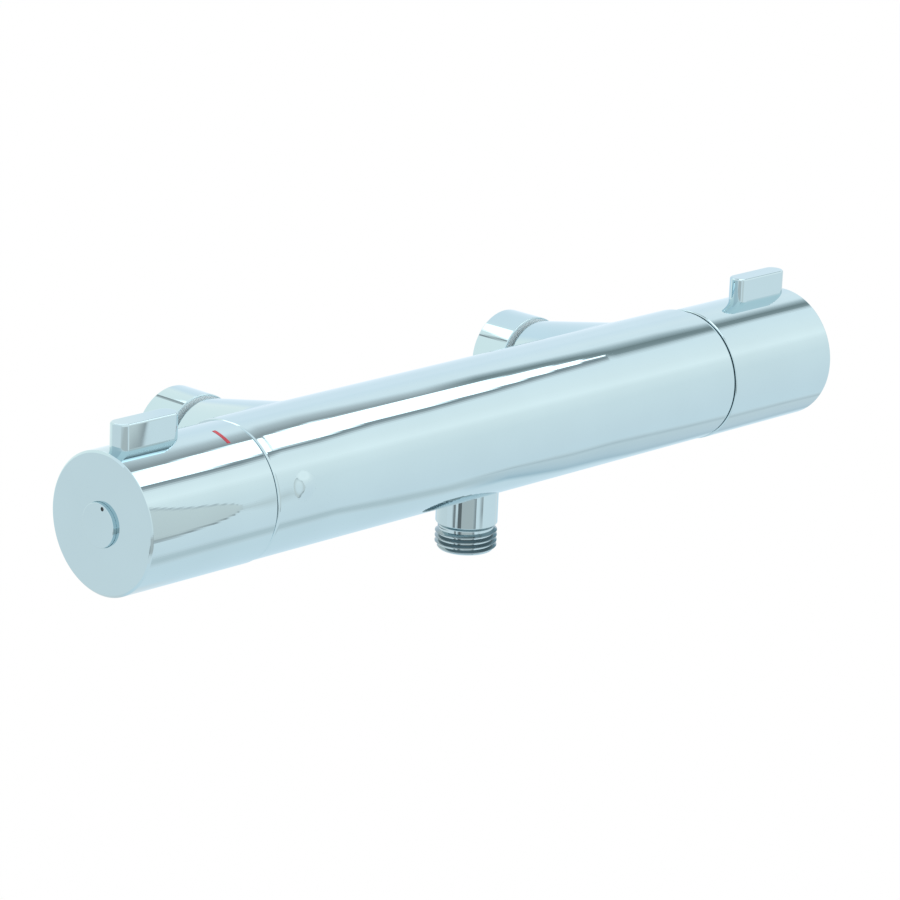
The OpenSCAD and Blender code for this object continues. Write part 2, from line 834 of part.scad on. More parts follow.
module cartridge_ring_nut() {
    color("gold")
        at_left()
            difference() {
                tube_x(ring_nut_start, ring_nut_start + ring_nut_h, sleeve_r, ring_nut_bore_r);
                for (i = [0 : ring_nut_slots - 1])
                    from_top(360 * i / ring_nut_slots)
                        translate([ring_nut_start + ring_nut_h - ring_nut_slot_h, -ring_nut_slot_w / 2, ring_nut_bore_r - cut])
                            cube([ring_nut_slot_h + cut, ring_nut_slot_w, sleeve_r - ring_nut_bore_r + 2 * cut]);
            }
}

module cartridge_end_seat() {
    color("gold")
        at_left()
            tube_x(sleeve_start, sleeve_start + end_seat_h, shuttle_bore_r - face_gap, end_seat_bore_r);
}

module thermostat_return_spring() {
    spring_start = sleeve_start + end_seat_h + face_gap;
    color("lightgray")
        at_left()
            translate([spring_start, 0, 0])
                rotate([0, 90, 0])
                    coil(return_coil_r, return_wire_r, shuttle_web - spring_start - face_gap, return_turns);
}

module regulating_nut() {
    color("white")
        at_left()
            difference() {
                union() {
                    rod_x(reg_cup_start, reg_thread_end, reg_nut_r);
                    for (turn = [0, 180])
                        from_top(turn)
                            translate([reg_cup_floor, -key_w / 2, 0])
                                cube([reg_thread_len, key_w, nut_bore_r + key_h - 2 * fit]);
                }
                rod_x(reg_cup_start - cut, reg_thread_end + cut, screw_stem_r + running);
                rod_x(reg_cup_start - cut, reg_cup_floor, reg_cup_bore_r);
            }
}

module overload_retaining_ring() {
    color("lightgray")
        at_left()
            tube_x(reg_cup_start, reg_cup_start + reg_ring_w, reg_cup_bore_r - ring_squeeze, reg_ring_bore_r);
}

module overload_plunger() {
    color("gold")
        at_left()
            rod_x(plunger_start, plunger_start + plunger_h, reg_cup_bore_r - fit);
}

module overload_spring() {
    spring_start = plunger_start + plunger_h + face_gap;
    color("lightgray")
        at_left()
            translate([spring_start, 0, 0])
                rotate([0, 90, 0])
                    coil(
                        reg_cup_bore_r - overload_wire_r - 2 * fit,
                        overload_wire_r,
                        reg_cup_floor - spring_start - face_gap,
                        overload_turns
                    );
}

module wax_element() {
    color("peru")
        at_left() {
            rod_x(element_end, element_neck, element_r);
            rod_x(shuttle_web + shuttle_web_h, shuttle_web + shuttle_web_h + element_collar_h, element_collar_r);
            rod_x(element_neck, piston_tip, piston_r);
        }
}

module mixing_shuttle() {
    color("white")
        at_left()
            difference() {
                rod_x(shuttle_start, shuttle_end, shuttle_r);
                rod_x(shuttle_start - cut, shuttle_web, shuttle_r - shuttle_wall);
                rod_x(shuttle_web + shuttle_web_h, shuttle_end + cut, shuttle_r - shuttle_wall);
                rod_x(shuttle_web - cut, shuttle_web + shuttle_web_h + cut, element_r + ring_squeeze);
                for (i = [0 : shuttle_holes - 1])
                    from_top(360 * i / shuttle_holes)
                        translate([0, 0, (element_collar_r + shuttle_r - shuttle_wall) / 2])
                            rod_x(shuttle_web - cut, shuttle_web + shuttle_web_h + cut, shuttle_hole_r);
            }
}

// The splined end with the screw's hole, which both spindles share
module spindle_end(from) {
    rod_x(from, spline_start, spindle_r);
    star_x(spline_start, spline_end, spline_r);
}

module spindle_cuts() {
    rod_x(spline_end - screw_hole_depth, spline_end + cut, screw_r + running);
    tube_x(spindle_groove, spindle_groove + o_groove_w, spindle_r + cut, spindle_r - o_wire);
}

module spindle_o_ring() {
    color("black")
        o_ring_x(spindle_groove + o_groove_w / 2, spindle_bore_r - ring_squeeze - o_wire / 2, o_wire);
}

module temperature_spindle() {
    color("gold")
        at_left()
            difference() {
                union() {
                    spindle_end(thrust_flange_start);
                    rod_x(thrust_flange_start, thrust_flange_start + thrust_flange_h, thrust_flange_r);
                    rod_x(reg_cup_floor, thrust_flange_start, screw_stem_r);
                }
                spindle_cuts();
            }
}

module temperature_spindle_o_ring() at_left() spindle_o_ring();

// A stop ring: its lug fills the part of the circle that the knob's tab never reaches
module stop_ring(back_turn, forward_turn) {
    lug_sweep = 360 - back_turn - forward_turn - tab_sweep - 2 * stop_slack;
    lug_start = tab_angle + forward_turn + tab_sweep / 2 + stop_slack;
    color("white")
        difference() {
            union() {
                rod_x(stop_start, stop_start + stop_w, stop_ring_r);
                sector_x(stop_start, stop_start + stop_w, stop_lug_r, lug_start, lug_sweep);
            }
            star_x(stop_start - cut, stop_start + stop_w + cut, nose_star_r + fit);
        }
}

module temperature_stop_ring() at_left() stop_ring(hot_turn, cold_turn);

module glide_ring() {
    color("white")
        tube_x(glide_start, glide_start + glide_len, knob_bore_r - fit, spigot_r - glide_groove_depth + face_gap);
}

module temperature_glide_ring() at_left() glide_ring();

// A fin: a straight middle with rounded top edges between two round ends
module fin_outline(half_width) {
    intersection() {
        union() {
            square([2 * half_width, 2 * (fin_h + knob_r - fin_root - fin_edge_r)], center = true);
            square([2 * (half_width - fin_edge_r), 2 * (fin_h + knob_r - fin_root)], center = true);
            for (side = [-1, 1])
                translate([side * (half_width - fin_edge_r), fin_h + knob_r - fin_root - fin_edge_r])
                    circle(fin_edge_r);
        }
        translate([-half_width, 0])
            square([2 * half_width, fin_h + knob_r - fin_root]);
    }
}

module fin() {
    straight = fin_len - fin_w;
    translate([fin_x, 0, fin_root]) {
        rotate([90, 0, 90])
            linear_extrude(straight, center = true)
                fin_outline(fin_w / 2);
        for (side = [-1, 1])
            translate([side * straight / 2, 0, 0])
                rotate_extrude()
                    intersection() {
                        fin_outline(fin_w / 2);
                        square([fin_w, fin_h + knob_r]);
                    }
    }
}

module knob_shell() {
    difference() {
        union() {
            spun_x()
                polygon([
                    [knob_bore_r, knob_start],
                    [knob_r - knob_lip_bevel, knob_start],
                    [knob_r, knob_start + knob_lip_bevel],
                    [knob_r, knob_end - knob_bevel],
                    [knob_r - knob_bevel, knob_end],
                    [0, knob_end],
                    [0, knob_floor],
                    [knob_bore_r, knob_floor]
                ]);
            rod_x(hub_start, knob_floor + fit, hub_r);
            fin();
            difference() {
                sector_x(
                    stop_start,
                    stop_start + stop_w,
                    knob_bore_r + knob_wall / 2,
                    tab_angle - tab_sweep / 2,
                    tab_sweep
                );
                rod_x(stop_start - cut, stop_start + stop_w + cut, tab_r);
            }
        }
        hex_x(hub_start - cut, knob_floor, insert_hex_r + fit);
        rod_x(knob_floor - cut, knob_end + cut, screw_hole_r);
        rod_x(screw_head_seat, knob_end + cut, screw_head_pocket_r);
        rod_x(cap_seat, knob_end + cut, cap_r + fit);
    }
}

module knob_insert() {
    color("gray")
        difference() {
            hex_x(insert_start, insert_end, insert_hex_r);
            star_x(insert_start - cut, insert_end - insert_cap, spline_r + fit);
            rod_x(insert_end - insert_cap - cut, insert_end + cut, screw_hole_r);
        }
}

module knob_screw() {
    color("lightgray")
        difference() {
            union() {
                rod_x(screw_head_seat + face_gap - screw_len, screw_head_seat + face_gap, screw_r);
                rod_x(screw_head_seat + face_gap, screw_head_seat + face_gap + screw_head_h - face_gap, screw_head_r);
            }
            hex_x(screw_head_seat + screw_head_h - screw_key_depth, cap_seat + cut, screw_key_r);
        }
}

module screw_cap() {
    cap_top = knob_end + cap_rise;
    color("silver")
        difference() {
            spun_x()
                polygon([
                    [0, cap_seat + face_gap],
                    [cap_r, cap_seat + face_gap],
                    [cap_r, cap_top - cap_bevel],
                    [cap_r - cap_bevel, cap_top],
                    [0, cap_top]
                ]);
            from_top(pry_hole_angle)
                translate([0, 0, cap_r - cap_bevel - pry_hole_r])
                    rod_x(cap_top - pry_hole_depth, cap_top + cut, pry_hole_r);
        }
}

// The coloured mark fills a shallow groove round part of the temperature knob
module mark_band(clearance) {
    at = knob_start + mark_from_body;
    difference() {
        sector_x(at - mark_w / 2 - clearance, at + mark_w / 2 + clearance, knob_r + clearance, mark_angle, mark_sweep);
        rod_x(at - mark_w, at + mark_w, knob_r - mark_depth);
    }
}

module temperature_knob() {
    color("silver")
        at_left()
            difference() {
                knob_shell();
                mark_band(ring_squeeze);
            }
}

module temperature_mark() color("red") at_left() mark_band(0);
module temperature_knob_insert() at_left() knob_insert();
module temperature_knob_screw() at_left() knob_screw();
module temperature_screw_cap() at_left() screw_cap();

// Ceramic headwork on the right
module headwork_housing() {
    color("gold")
        place()
            difference() {
                union() {
                    rod_x(housing_start, spigot_end + fit, housing_r);
                    hex_x(spigot_end + face_gap, spigot_end + housing_hex_h, housing_hex_r);
                    star_x(spigot_end + face_gap, nose_end, nose_star_r);
                }
                tube_x(housing_start - cut, housing_waist_end, housing_r + cut, housing_waist_r);
                tube_x(housing_groove, housing_groove + o_groove_w, housing_r + cut, housing_r - o_wire);
                rod_x(housing_start - cut, flow_thrust_seat, disc_chamber_r);
                rod_x(flow_thrust_seat - cut, nose_end + cut, spindle_bore_r);
                for (i = [0 : windows - 1])
                    from_top(360 * i / windows)
                        translate([window_x, 0, 0])
                            cylinder(h = housing_r + cut, r = window_r);
            }
}

module headwork_o_ring() {
    color("black")
        place()
            o_ring_x(housing_groove + o_groove_w / 2, headwork_bore_r - ring_squeeze - o_wire / 2, o_wire);
}

module disc_lip_seal() {
    color("black")
        place()
            tube_x(lip_seal_start, lip_seal_start + lip_seal_h - ring_squeeze, disc_r, lip_seal_bore_r);
}

// Two sector shaped ports through a ceramic disc
module disc_ports(from, to, start) {
    for (turn = [0, 180])
        difference() {
            sector_x(from - cut, to + cut, disc_port_outer_r, start + turn - disc_port_sweep / 2, disc_port_sweep);
            rod_x(from - 2 * cut, to + 2 * cut, disc_port_inner_r);
        }
}

module ceramic_disc_fixed() {
    color("white")
        place()
            difference() {
                rod_x(fixed_disc_start, fixed_disc_start + disc_h, disc_r);
                disc_ports(fixed_disc_start, fixed_disc_start + disc_h, open_turn);
            }
}

module ceramic_disc_moving() {
    color("white")
        place()
            difference() {
                rod_x(moving_disc_start, moving_disc_end, disc_r);
                disc_ports(moving_disc_start, moving_disc_end, 0);
                for (turn = [90, 270])
                    from_top(turn)
                        translate([moving_disc_start - cut, -disc_slot_w / 2, disc_r - disc_slot_depth])
                            cube([disc_h + 2 * cut, disc_slot_w, disc_slot_depth + cut]);
            }
}

module flow_spindle() {
    tang_w = disc_slot_w - 2 * fit;
    color("gold")
        place()
            difference() {
                union() {
                    spindle_end(moving_disc_end + face_gap);
                    rod_x(flow_thrust_seat - fit - flow_flange_h, flow_thrust_seat - fit, flow_flange_r);
                    for (turn = [90, 270])
                        from_top(turn) {
                            translate([moving_disc_end + face_gap, -tang_w / 2, 0])
                                cube([driver_h - face_gap, tang_w, disc_r - fit]);
                            translate([moving_disc_start + disc_h / 2, -tang_w / 2, disc_r - disc_slot_depth + fit])
                                cube([disc_h / 2 + driver_h, tang_w, disc_slot_depth - 2 * fit]);
                        }
                }
                spindle_cuts();
            }
}

module flow_spindle_o_ring() place() spindle_o_ring();
module flow_stop_ring() place() stop_ring(0, open_turn);
module flow_glide_ring() place() glide_ring();
module flow_knob() color("silver") place() knob_shell();
module flow_knob_insert() place() knob_insert();
module flow_knob_screw() place() knob_screw();
module flow_screw_cap() place() screw_cap();

body_casting();
outlet_nipple();
outlet_seal_washer();
at_inlet(-1) inlet_tail();  // inlet_tail_left
at_inlet(1) inlet_tail();  // inlet_tail_right
at_inlet(-1) tail_o_ring();  // tail_o_ring_left
at_inlet(1) tail_o_ring();  // tail_o_ring_right
at_inlet(-1) filter_washer();  // filter_washer_left
at_inlet(1) filter_washer();  // filter_washer_right
at_inlet(-1) check_valve_cage();  // check_valve_cage_left
at_inlet(1) check_valve_cage();  // check_valve_cage_right
at_inlet(-1) check_valve_spring();  // check_valve_spring_left
at_inlet(1) check_valve_spring();  // check_valve_spring_right
at_inlet(-1) check_valve_poppet();  // check_valve_poppet_left
at_inlet(1) check_valve_poppet();  // check_valve_poppet_right
at_inlet(-1) union_nut();  // union_nut_left
at_inlet(1) union_nut();  // union_nut_right
cartridge_sleeve();
cartridge_o_rings();
cartridge_ring_nut();
cartridge_end_seat();
thermostat_return_spring();
regulating_nut();
overload_spring();
overload_plunger();
overload_retaining_ring();
wax_element();
mixing_shuttle();
temperature_spindle();
temperature_spindle_o_ring();
temperature_stop_ring();
temperature_glide_ring();
temperature_knob();
temperature_knob_insert();
temperature_knob_screw();
temperature_screw_cap();
temperature_mark();
headwork_housing();
headwork_o_ring();
disc_lip_seal();
ceramic_disc_fixed();
ceramic_disc_moving();
flow_spindle();
flow_spindle_o_ring();
flow_stop_ring();
flow_glide_ring();
flow_knob();
flow_knob_insert();
flow_knob_screw();
flow_screw_cap();
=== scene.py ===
"""Thermostatic shower valve: shells, threads, finishes and a photo stage round the measured frame."""

import json
import math

import bpy
from mathutils import Matrix, Vector


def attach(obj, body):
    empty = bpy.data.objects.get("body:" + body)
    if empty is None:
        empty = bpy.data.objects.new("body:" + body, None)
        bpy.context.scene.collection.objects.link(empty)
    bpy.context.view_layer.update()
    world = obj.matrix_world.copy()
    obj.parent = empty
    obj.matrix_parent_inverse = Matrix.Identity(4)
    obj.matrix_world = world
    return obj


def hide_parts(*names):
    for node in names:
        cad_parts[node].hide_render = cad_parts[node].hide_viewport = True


bl_info = {
    "name": "Thermostatic Shower Valve",
    "version": (1, 0, 0),
    "blender": (4, 5, 0),
    "location": "View3D > Sidebar > Valve",
    "description": "Models the valve's shells and threads, gives every piece its finish and sets the stage",
    "category": "Object",
}

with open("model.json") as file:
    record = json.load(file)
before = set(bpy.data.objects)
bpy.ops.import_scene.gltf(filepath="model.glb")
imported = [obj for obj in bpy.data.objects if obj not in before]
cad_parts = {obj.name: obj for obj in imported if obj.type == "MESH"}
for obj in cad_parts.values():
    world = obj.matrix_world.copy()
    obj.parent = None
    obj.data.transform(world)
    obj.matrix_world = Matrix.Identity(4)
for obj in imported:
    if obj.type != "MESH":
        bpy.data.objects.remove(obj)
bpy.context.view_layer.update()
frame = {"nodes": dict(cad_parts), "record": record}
MM = 0.001
# Points closer together than this, in metres, are merged
MERGE = 2e-6
# Edges that turn less than this are shaded smooth
SMOOTH = math.radians(40)
TURNS = {"X": (1, 0, 0), "Y": (0, 1, 0), "Z": (0, 0, 1)}
# The low swell on the bar's front: its distance from the body's left end, its angle from the top, its radius
SWELL_IN, SWELL_ANGLE, SWELL_REACH = 0.0118, math.radians(77), 0.0052
# Every material, by its slot's name or by the place that alone wears it: body, thread or the pale nut face,
# whose pale tone is painted reflection
FINISHES = {}


class ValveSizes(bpy.types.PropertyGroup):
    """Sizes of the valve's outer pieces, in metres."""

    axis_y: bpy.props.FloatProperty(
        name="Bar axis", description="Place of the bar's axis, measured from the wall plane",
        default=-0.060, unit="LENGTH")
    body_radius: bpy.props.FloatProperty(
        name="Body radius", description="Radius of the body between the knobs", default=0.0228, unit="LENGTH")
    body_end: bpy.props.FloatProperty(
        name="Body end", description="Half the length of the body between the knobs",
        default=0.11065, unit="LENGTH")
    rear_depth: bpy.props.FloatProperty(
        name="Rear depth", description="How much deeper than round the body is towards the wall",
        default=0.003, unit="LENGTH")
    knob_radius: bpy.props.FloatProperty(
        name="Knob radius", description="Radius of both knobs", default=0.0231, unit="LENGTH")
    knob_end: bpy.props.FloatProperty(
        name="Knob end", description="Distance of a knob's end face from the middle",
        default=0.16405, unit="LENGTH")
    knob_gap: bpy.props.FloatProperty(
        name="Knob gap", description="Gap between a knob and the body", default=0.0005, unit="LENGTH")
    fin_height: bpy.props.FloatProperty(
        name="Fin height", description="Height of a knob's fin above the knob", default=0.0083, unit="LENGTH")
    fin_width: bpy.props.FloatProperty(
        name="Fin width", description="Thickness of a knob's fin", default=0.0074, unit="LENGTH")
    fin_length: bpy.props.FloatProperty(
        name="Fin length", description="Length of a knob's fin along the bar", default=0.0255, unit="LENGTH")
    inlet_x: bpy.props.FloatProperty(
        name="Inlet place", description="Distance of an inlet's centre from the middle",
        default=0.080, unit="LENGTH")
    boss_blend: bpy.props.FloatProperty(
        name="Boss blend", description="Radius of the cast blend between a boss and the bar",
        default=0.012, unit="LENGTH")
    spin_steps: bpy.props.IntProperty(
        name="Steps round", description="Faces round each boss and nut", default=192, min=48, max=512)


class ValveFinishes(bpy.types.PropertyGroup):
    """Colours of the valve's finishes."""

    chrome: bpy.props.FloatVectorProperty(
        name="Chrome", description="Tint of the polished plating", size=3, subtype="COLOR",
        default=(0.49, 0.645, 0.70), min=0, max=1)
    brass: bpy.props.FloatVectorProperty(
        name="Brass", description="Colour of turned brass", size=3, subtype="COLOR",
        default=(0.72, 0.50, 0.20), min=0, max=1)
    mark: bpy.props.FloatVectorProperty(
        name="Mark", description="Colour of the mark on the temperature knob", size=3, subtype="COLOR",
        default=(0.62, 0.02, 0.05), min=0, max=1)


class ValveStage(bpy.types.PropertyGroup):
    """The places of the camera, the light tent and the floor."""

    azimuth: bpy.props.FloatProperty(
        name="Azimuth", description="Turn of the camera round the valve", default=math.radians(-46.85),
        subtype="ANGLE")
    elevation: bpy.props.FloatProperty(
        name="Elevation", description="Height of the camera above the horizon", default=math.radians(16.63),
        subtype="ANGLE")
    roll: bpy.props.FloatProperty(
        name="Roll", description="Tilt of the camera about its own axis", default=math.radians(2.372),
        subtype="ANGLE")
    distance: bpy.props.FloatProperty(
        name="Distance", description="Distance from the camera to its aim", default=1.33346, unit="LENGTH")
    tent_radius: bpy.props.FloatProperty(
        name="Tent radius", description="Radius of the light tent that the plating reflects", default=0.28,
        unit="LENGTH")
    floor_drop: bpy.props.FloatProperty(
        name="Floor drop", description="Distance of the floor below the bar's axis", default=0.30,
        unit="LENGTH")


# ---- Modelling helpers ----

def deselect_all():
    if bpy.context.object and bpy.context.object.mode != "OBJECT":
        bpy.ops.object.mode_set(mode="OBJECT")
    bpy.ops.object.select_all(action="DESELECT")


def choose(piece):
    """Selects one piece alone and makes it the active one."""
    deselect_all()
    piece.select_set(True)
    bpy.context.view_layer.objects.active = piece


def named(name):
    """The object just added, under its own name."""
    piece = bpy.context.object
    piece.name = name
    piece.data.name = name
    return piece


def on_axis(axis, centre, radius, distance):
    """A point of an outline: on the side where each axis keeps its first face."""
    if axis == "X":
        return Vector((distance, centre[1], centre[2] + radius))
    if axis == "Y":
        return Vector((centre[0], distance, centre[2] + radius))
    return Vector((centre[0], centre[1] - radius, distance))


def round_bar(sizes, x, angle, out):
    """A point at x, at an angle from the bar's top to its front and at a distance out from its axis."""
    return Vector((x, sizes.axis_y - out * math.sin(angle), out * math.cos(angle)))


def drawn(name, outline, axis, centre):
    """Draws an outline of (radius, distance) pairs, in metres, as a line of edges, and stays in edit mode."""
    deselect_all()
    bpy.ops.mesh.primitive_plane_add(size=MM)
    piece = named(name)
    bpy.ops.object.mode_set(mode="EDIT")
    bpy.ops.mesh.select_mode(type="VERT")
    bpy.ops.mesh.select_all(action="SELECT")
    bpy.ops.mesh.merge(type="CENTER")
    points = [on_axis(axis, centre, r, d) for r, d in outline]
    bpy.ops.transform.translate(value=points[0])
    for a, b in zip(points, points[1:]):
        bpy.ops.mesh.extrude_region_move(TRANSFORM_OT_translate={"value": b - a})
    return piece


def face_outwards():
    """Merges the doubled points of the active piece and turns its faces outwards."""
    bpy.ops.object.mode_set(mode="EDIT")
    bpy.ops.mesh.select_all(action="SELECT")
    bpy.ops.mesh.remove_doubles(threshold=MERGE)
    bpy.ops.mesh.normals_make_consistent(inside=False)
    bpy.ops.object.mode_set(mode="OBJECT")


def spun(name, outline, axis, centre, steps, closed=True):
    """Turns an outline of (radius, distance) pairs, in metres, about an axis through centre."""
    piece = drawn(name, outline, axis, centre)
    bpy.ops.mesh.select_all(action="SELECT")
    if closed:
        bpy.ops.object.mode_set(mode="OBJECT")
        count = len(piece.data.vertices)
        for v in piece.data.vertices:
            v.select = v.index in (0, count - 1)
        bpy.ops.object.mode_set(mode="EDIT")
        bpy.ops.mesh.select_mode(type="VERT")
        bpy.ops.mesh.edge_face_add()
        bpy.ops.mesh.select_all(action="SELECT")
    bpy.ops.mesh.spin(steps=steps, angle=math.tau, center=centre, axis=TURNS[axis])
    face_outwards()
    return piece


def apply_all(piece):
    """Applies every modifier of a piece, in order."""
    bpy.context.view_layer.objects.active = piece
    for modifier in list(piece.modifiers):
        bpy.ops.object.modifier_apply(modifier=modifier.name)


def soften(piece, width, segments=3, angle=25.0):
    """Rounds the hard edges of a piece, where a width is given, and keeps its broad faces flat."""
    choose(piece)
    if width:
        rounding = piece.modifiers.new("edges", "BEVEL")
        rounding.width, rounding.segments = width, segments
        rounding.limit_method, rounding.angle_limit = "ANGLE", math.radians(angle)
    bpy.ops.object.shade_smooth_by_angle(angle=SMOOTH)
    weights = piece.modifiers.new("normals", "WEIGHTED_NORMAL")
    weights.keep_sharp, weights.weight = True, 60
    apply_all(piece)


def join(name, pieces):
    """Makes one piece of several, under a name."""
    deselect_all()
    for piece in pieces:
        piece.select_set(True)
    bpy.context.view_layer.objects.active = pieces[0]
    bpy.ops.object.join()
    return named(name)


def place_in_mesh(piece):
    """Moves a piece's place and turn into its mesh, so that its origin is at the middle of the frame."""
    choose(piece)
    bpy.ops.object.transform_apply(location=True, rotation=True, scale=True)


def bevel_edges(piece, chosen, width, segments):
    """Rounds the edges whose two ends pass the test chosen."""
    bpy.ops.object.mode_set(mode="EDIT")
    bpy.ops.mesh.select_mode(type="EDGE")
    bpy.ops.mesh.select_all(action="DESELECT")
    bpy.ops.object.mode_set(mode="OBJECT")
    for edge in piece.data.edges:
        edge.select = chosen(*(piece.data.vertices[i].co for i in edge.vertices))
    bpy.ops.object.mode_set(mode="EDIT")
    bpy.ops.mesh.bevel(offset=width, segments=segments, affect="EDGES")
    bpy.ops.object.mode_set(mode="OBJECT")


def helix(name, ends, pitch, root_r, crest_r, axis, centre, steps, slope):
    """A screw thread between two distances along an axis. At both ends it rises from its root at a slope."""
    start, turns = ends[0] - pitch, math.ceil((ends[1] - ends[0]) / pitch) + 2
    flat = pitch / 8
    outline = [(root_r, start), (root_r, start + flat), (crest_r, start + pitch / 2 - flat / 2),
               (crest_r, start + pitch / 2 + flat / 2), (root_r, start + pitch)]
    piece = drawn(name, outline, axis, centre)
    bpy.ops.object.mode_set(mode="OBJECT")
    # One tooth is carried round step by step, each step a little further along the axis
    screw = piece.modifiers.new("screw", "SCREW")
    screw.axis, screw.angle, screw.steps, screw.render_steps = axis, math.tau, steps, steps
    screw.screw_offset, screw.iterations = pitch, turns
    screw.use_merge_vertices, screw.use_normal_calculate = True, True
    choose(piece)
    # The modifier turns about the object's origin, so the tooth moves there and the thread moves back
    middle = Vector(centre)
    for v in piece.data.vertices:
        v.co -= middle
    apply_all(piece)
    along = Vector(TURNS[axis])
    offset = middle.dot(along)
    for v in piece.data.vertices:
        distance = v.co.dot(along)
        out = v.co - along * distance
        kept = min(max(distance + offset, ends[0]), ends[1])
        grown = min(max(0.0, min(kept - ends[0], ends[1] - kept)) * slope, abs(crest_r - root_r))
        radius = max(out.length, root_r - grown) if crest_r < root_r else min(out.length, root_r + grown)
        v.co = along * (kept - offset) + out.normalized() * radius + middle
    face_outwards()
    return piece


def finish_piece(piece, body, slot, finish, *nodes):
    """Gives a piece its material and the body it rides, and hides the frame's nodes that it replaces. The
    slot is not used.
    """
    piece.data.materials.clear()
    piece.data.materials.append(FINISHES[finish])
    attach(piece, body)
    if nodes:
        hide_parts(*nodes)


# ---- Finishes ----

def add_node(tree, kind, **values):
    """Adds a shader node and sets its inputs, whose names have _ for a space."""
    node = tree.nodes.new("ShaderNode" + kind)
    for socket, value in values.items():
        node.inputs[socket.replace("_", " ")].default_value = value
    return node


def wire(tree, *pairs):
    """Joins outputs to inputs, pair by pair."""
    for output, socket in pairs:
        tree.links.new(output, socket)


def shader_group(name, inputs, output):
    """A node group with one output. Its inputs are numbers, or vectors where their value is None."""
    group = bpy.data.node_groups.new(name, "ShaderNodeTree")
    for socket, value in inputs.items():
        kind = "NodeSocketVector" if value is None else "NodeSocketFloat"
        made = group.interface.new_socket(name=socket, in_out="INPUT", socket_type=kind)
        if value is not None:
            made.default_value = value
    group.interface.new_socket(name=output, in_out="OUTPUT", socket_type="NodeSocketFloat")
    return group, group.nodes.new("NodeGroupInput"), group.nodes.new("NodeGroupOutput")


def patch_tone_group():
    """Soft patches that vary a value between two levels."""
    group, given, out = shader_group(
        "soft_patches", {"Vector": None, "Scale": 60.0, "Low": 0.0, "High": 1.0}, "Value")
    noise = add_node(group, "TexNoise", Detail=4)
    spread = add_node(group, "MapRange", From_Min=0.3, From_Max=0.7)
    wire(group,
         (given.outputs["Vector"], noise.inputs["Vector"]), (given.outputs["Scale"], noise.inputs["Scale"]),
         (noise.outputs["Fac"], spread.inputs["Value"]), (given.outputs["Low"], spread.inputs["To Min"]),
         (given.outputs["High"], spread.inputs["To Max"]), (spread.outputs["Result"], out.inputs["Value"]))
    return group


def turned_lines_group():
    """Fine tool lines left by turning, as a height."""
    group, given, out = shader_group("turned_lines", {"Vector": None, "Scale": 900.0}, "Height")
    wave = add_node(group, "TexWave", Distortion=1.5, Detail=3)
    wave.bands_direction = "X"
    wire(group, (given.outputs["Vector"], wave.inputs["Vector"]),
         (given.outputs["Scale"], wave.inputs["Scale"]), (wave.outputs["Fac"], out.inputs["Height"]))
    return group


def swell_group():
    """A low round swell about a point, as a height from 1 in its middle to 0 outside."""
    group, given, out = shader_group(
        "round_swell", {"Vector": None, "Centre": None, "Outer": SWELL_REACH}, "Height")
    gap = add_node(group, "VectorMath")
    gap.operation = "DISTANCE"
    edge = add_node(group, "MapRange", To_Min=1, To_Max=0)
    edge.interpolation_type = "SMOOTHSTEP"
    wire(group, (given.outputs["Vector"], gap.inputs[0]), (given.outputs["Centre"], gap.inputs[1]),
         (gap.outputs["Value"], edge.inputs["Value"]), (given.outputs["Outer"], edge.inputs["From Max"]),
         (edge.outputs["Result"], out.inputs["Height"]))
    return group


class Finish:
    """Builds one material and wires the shared effects into it."""

    def __init__(self, name, groups, metallic):
        self.material = bpy.data.materials.new(name)
        self.material.use_nodes = True
        self.tree = self.material.node_tree
        self.shader = self.tree.nodes["Principled BSDF"]
        self.groups = groups
        self.place = add_node(self.tree, "TexCoord").outputs["Object"]
        self.shader.inputs["Metallic"].default_value = metallic

    def effect(self, key, **values):
        """Adds a shared effect and gives its output."""
        node = add_node(self.tree, "Group")
        node.node_tree = self.groups[key]
        self.tree.links.new(self.place, node.inputs["Vector"])
        for socket, value in values.items():
            node.inputs[socket].default_value = value
        return node.outputs[0]

    def tone(self, first, second, **values):
        """Varies the base colour between two colours in soft patches."""
        mix = add_node(self.tree, "Mix")
        mix.data_type = "RGBA"
        mix.inputs["A"].default_value = (*first, 1)
        mix.inputs["B"].default_value = (*second, 1)
        self.tree.links.new(self.effect("patches", **values), mix.inputs["Factor"])
        self.tree.links.new(mix.outputs["Result"], self.shader.inputs["Base Color"])
        return self

    def roughness(self, low, high, scale):
        """Varies the roughness between two levels in soft patches."""
        self.tree.links.new(self.effect("patches", Scale=scale, Low=low, High=high),
                            self.shader.inputs["Roughness"])
        return self

    def bump(self, height, strength, distance):
        """Adds a relief on top of those before it."""
        node = add_node(self.tree, "Bump", Strength=strength, Distance=distance)
        before = self.shader.inputs["Normal"]
        if before.is_linked:
            self.tree.links.new(before.links[0].from_socket, node.inputs["Normal"])
        self.tree.links.new(height, node.inputs["Height"])
        self.tree.links.new(node.outputs["Normal"], before)
        return self


def tinted(colour, share):
    """A colour made lighter or darker by a share."""
    return tuple(min(1.0, c * share) for c in colour)


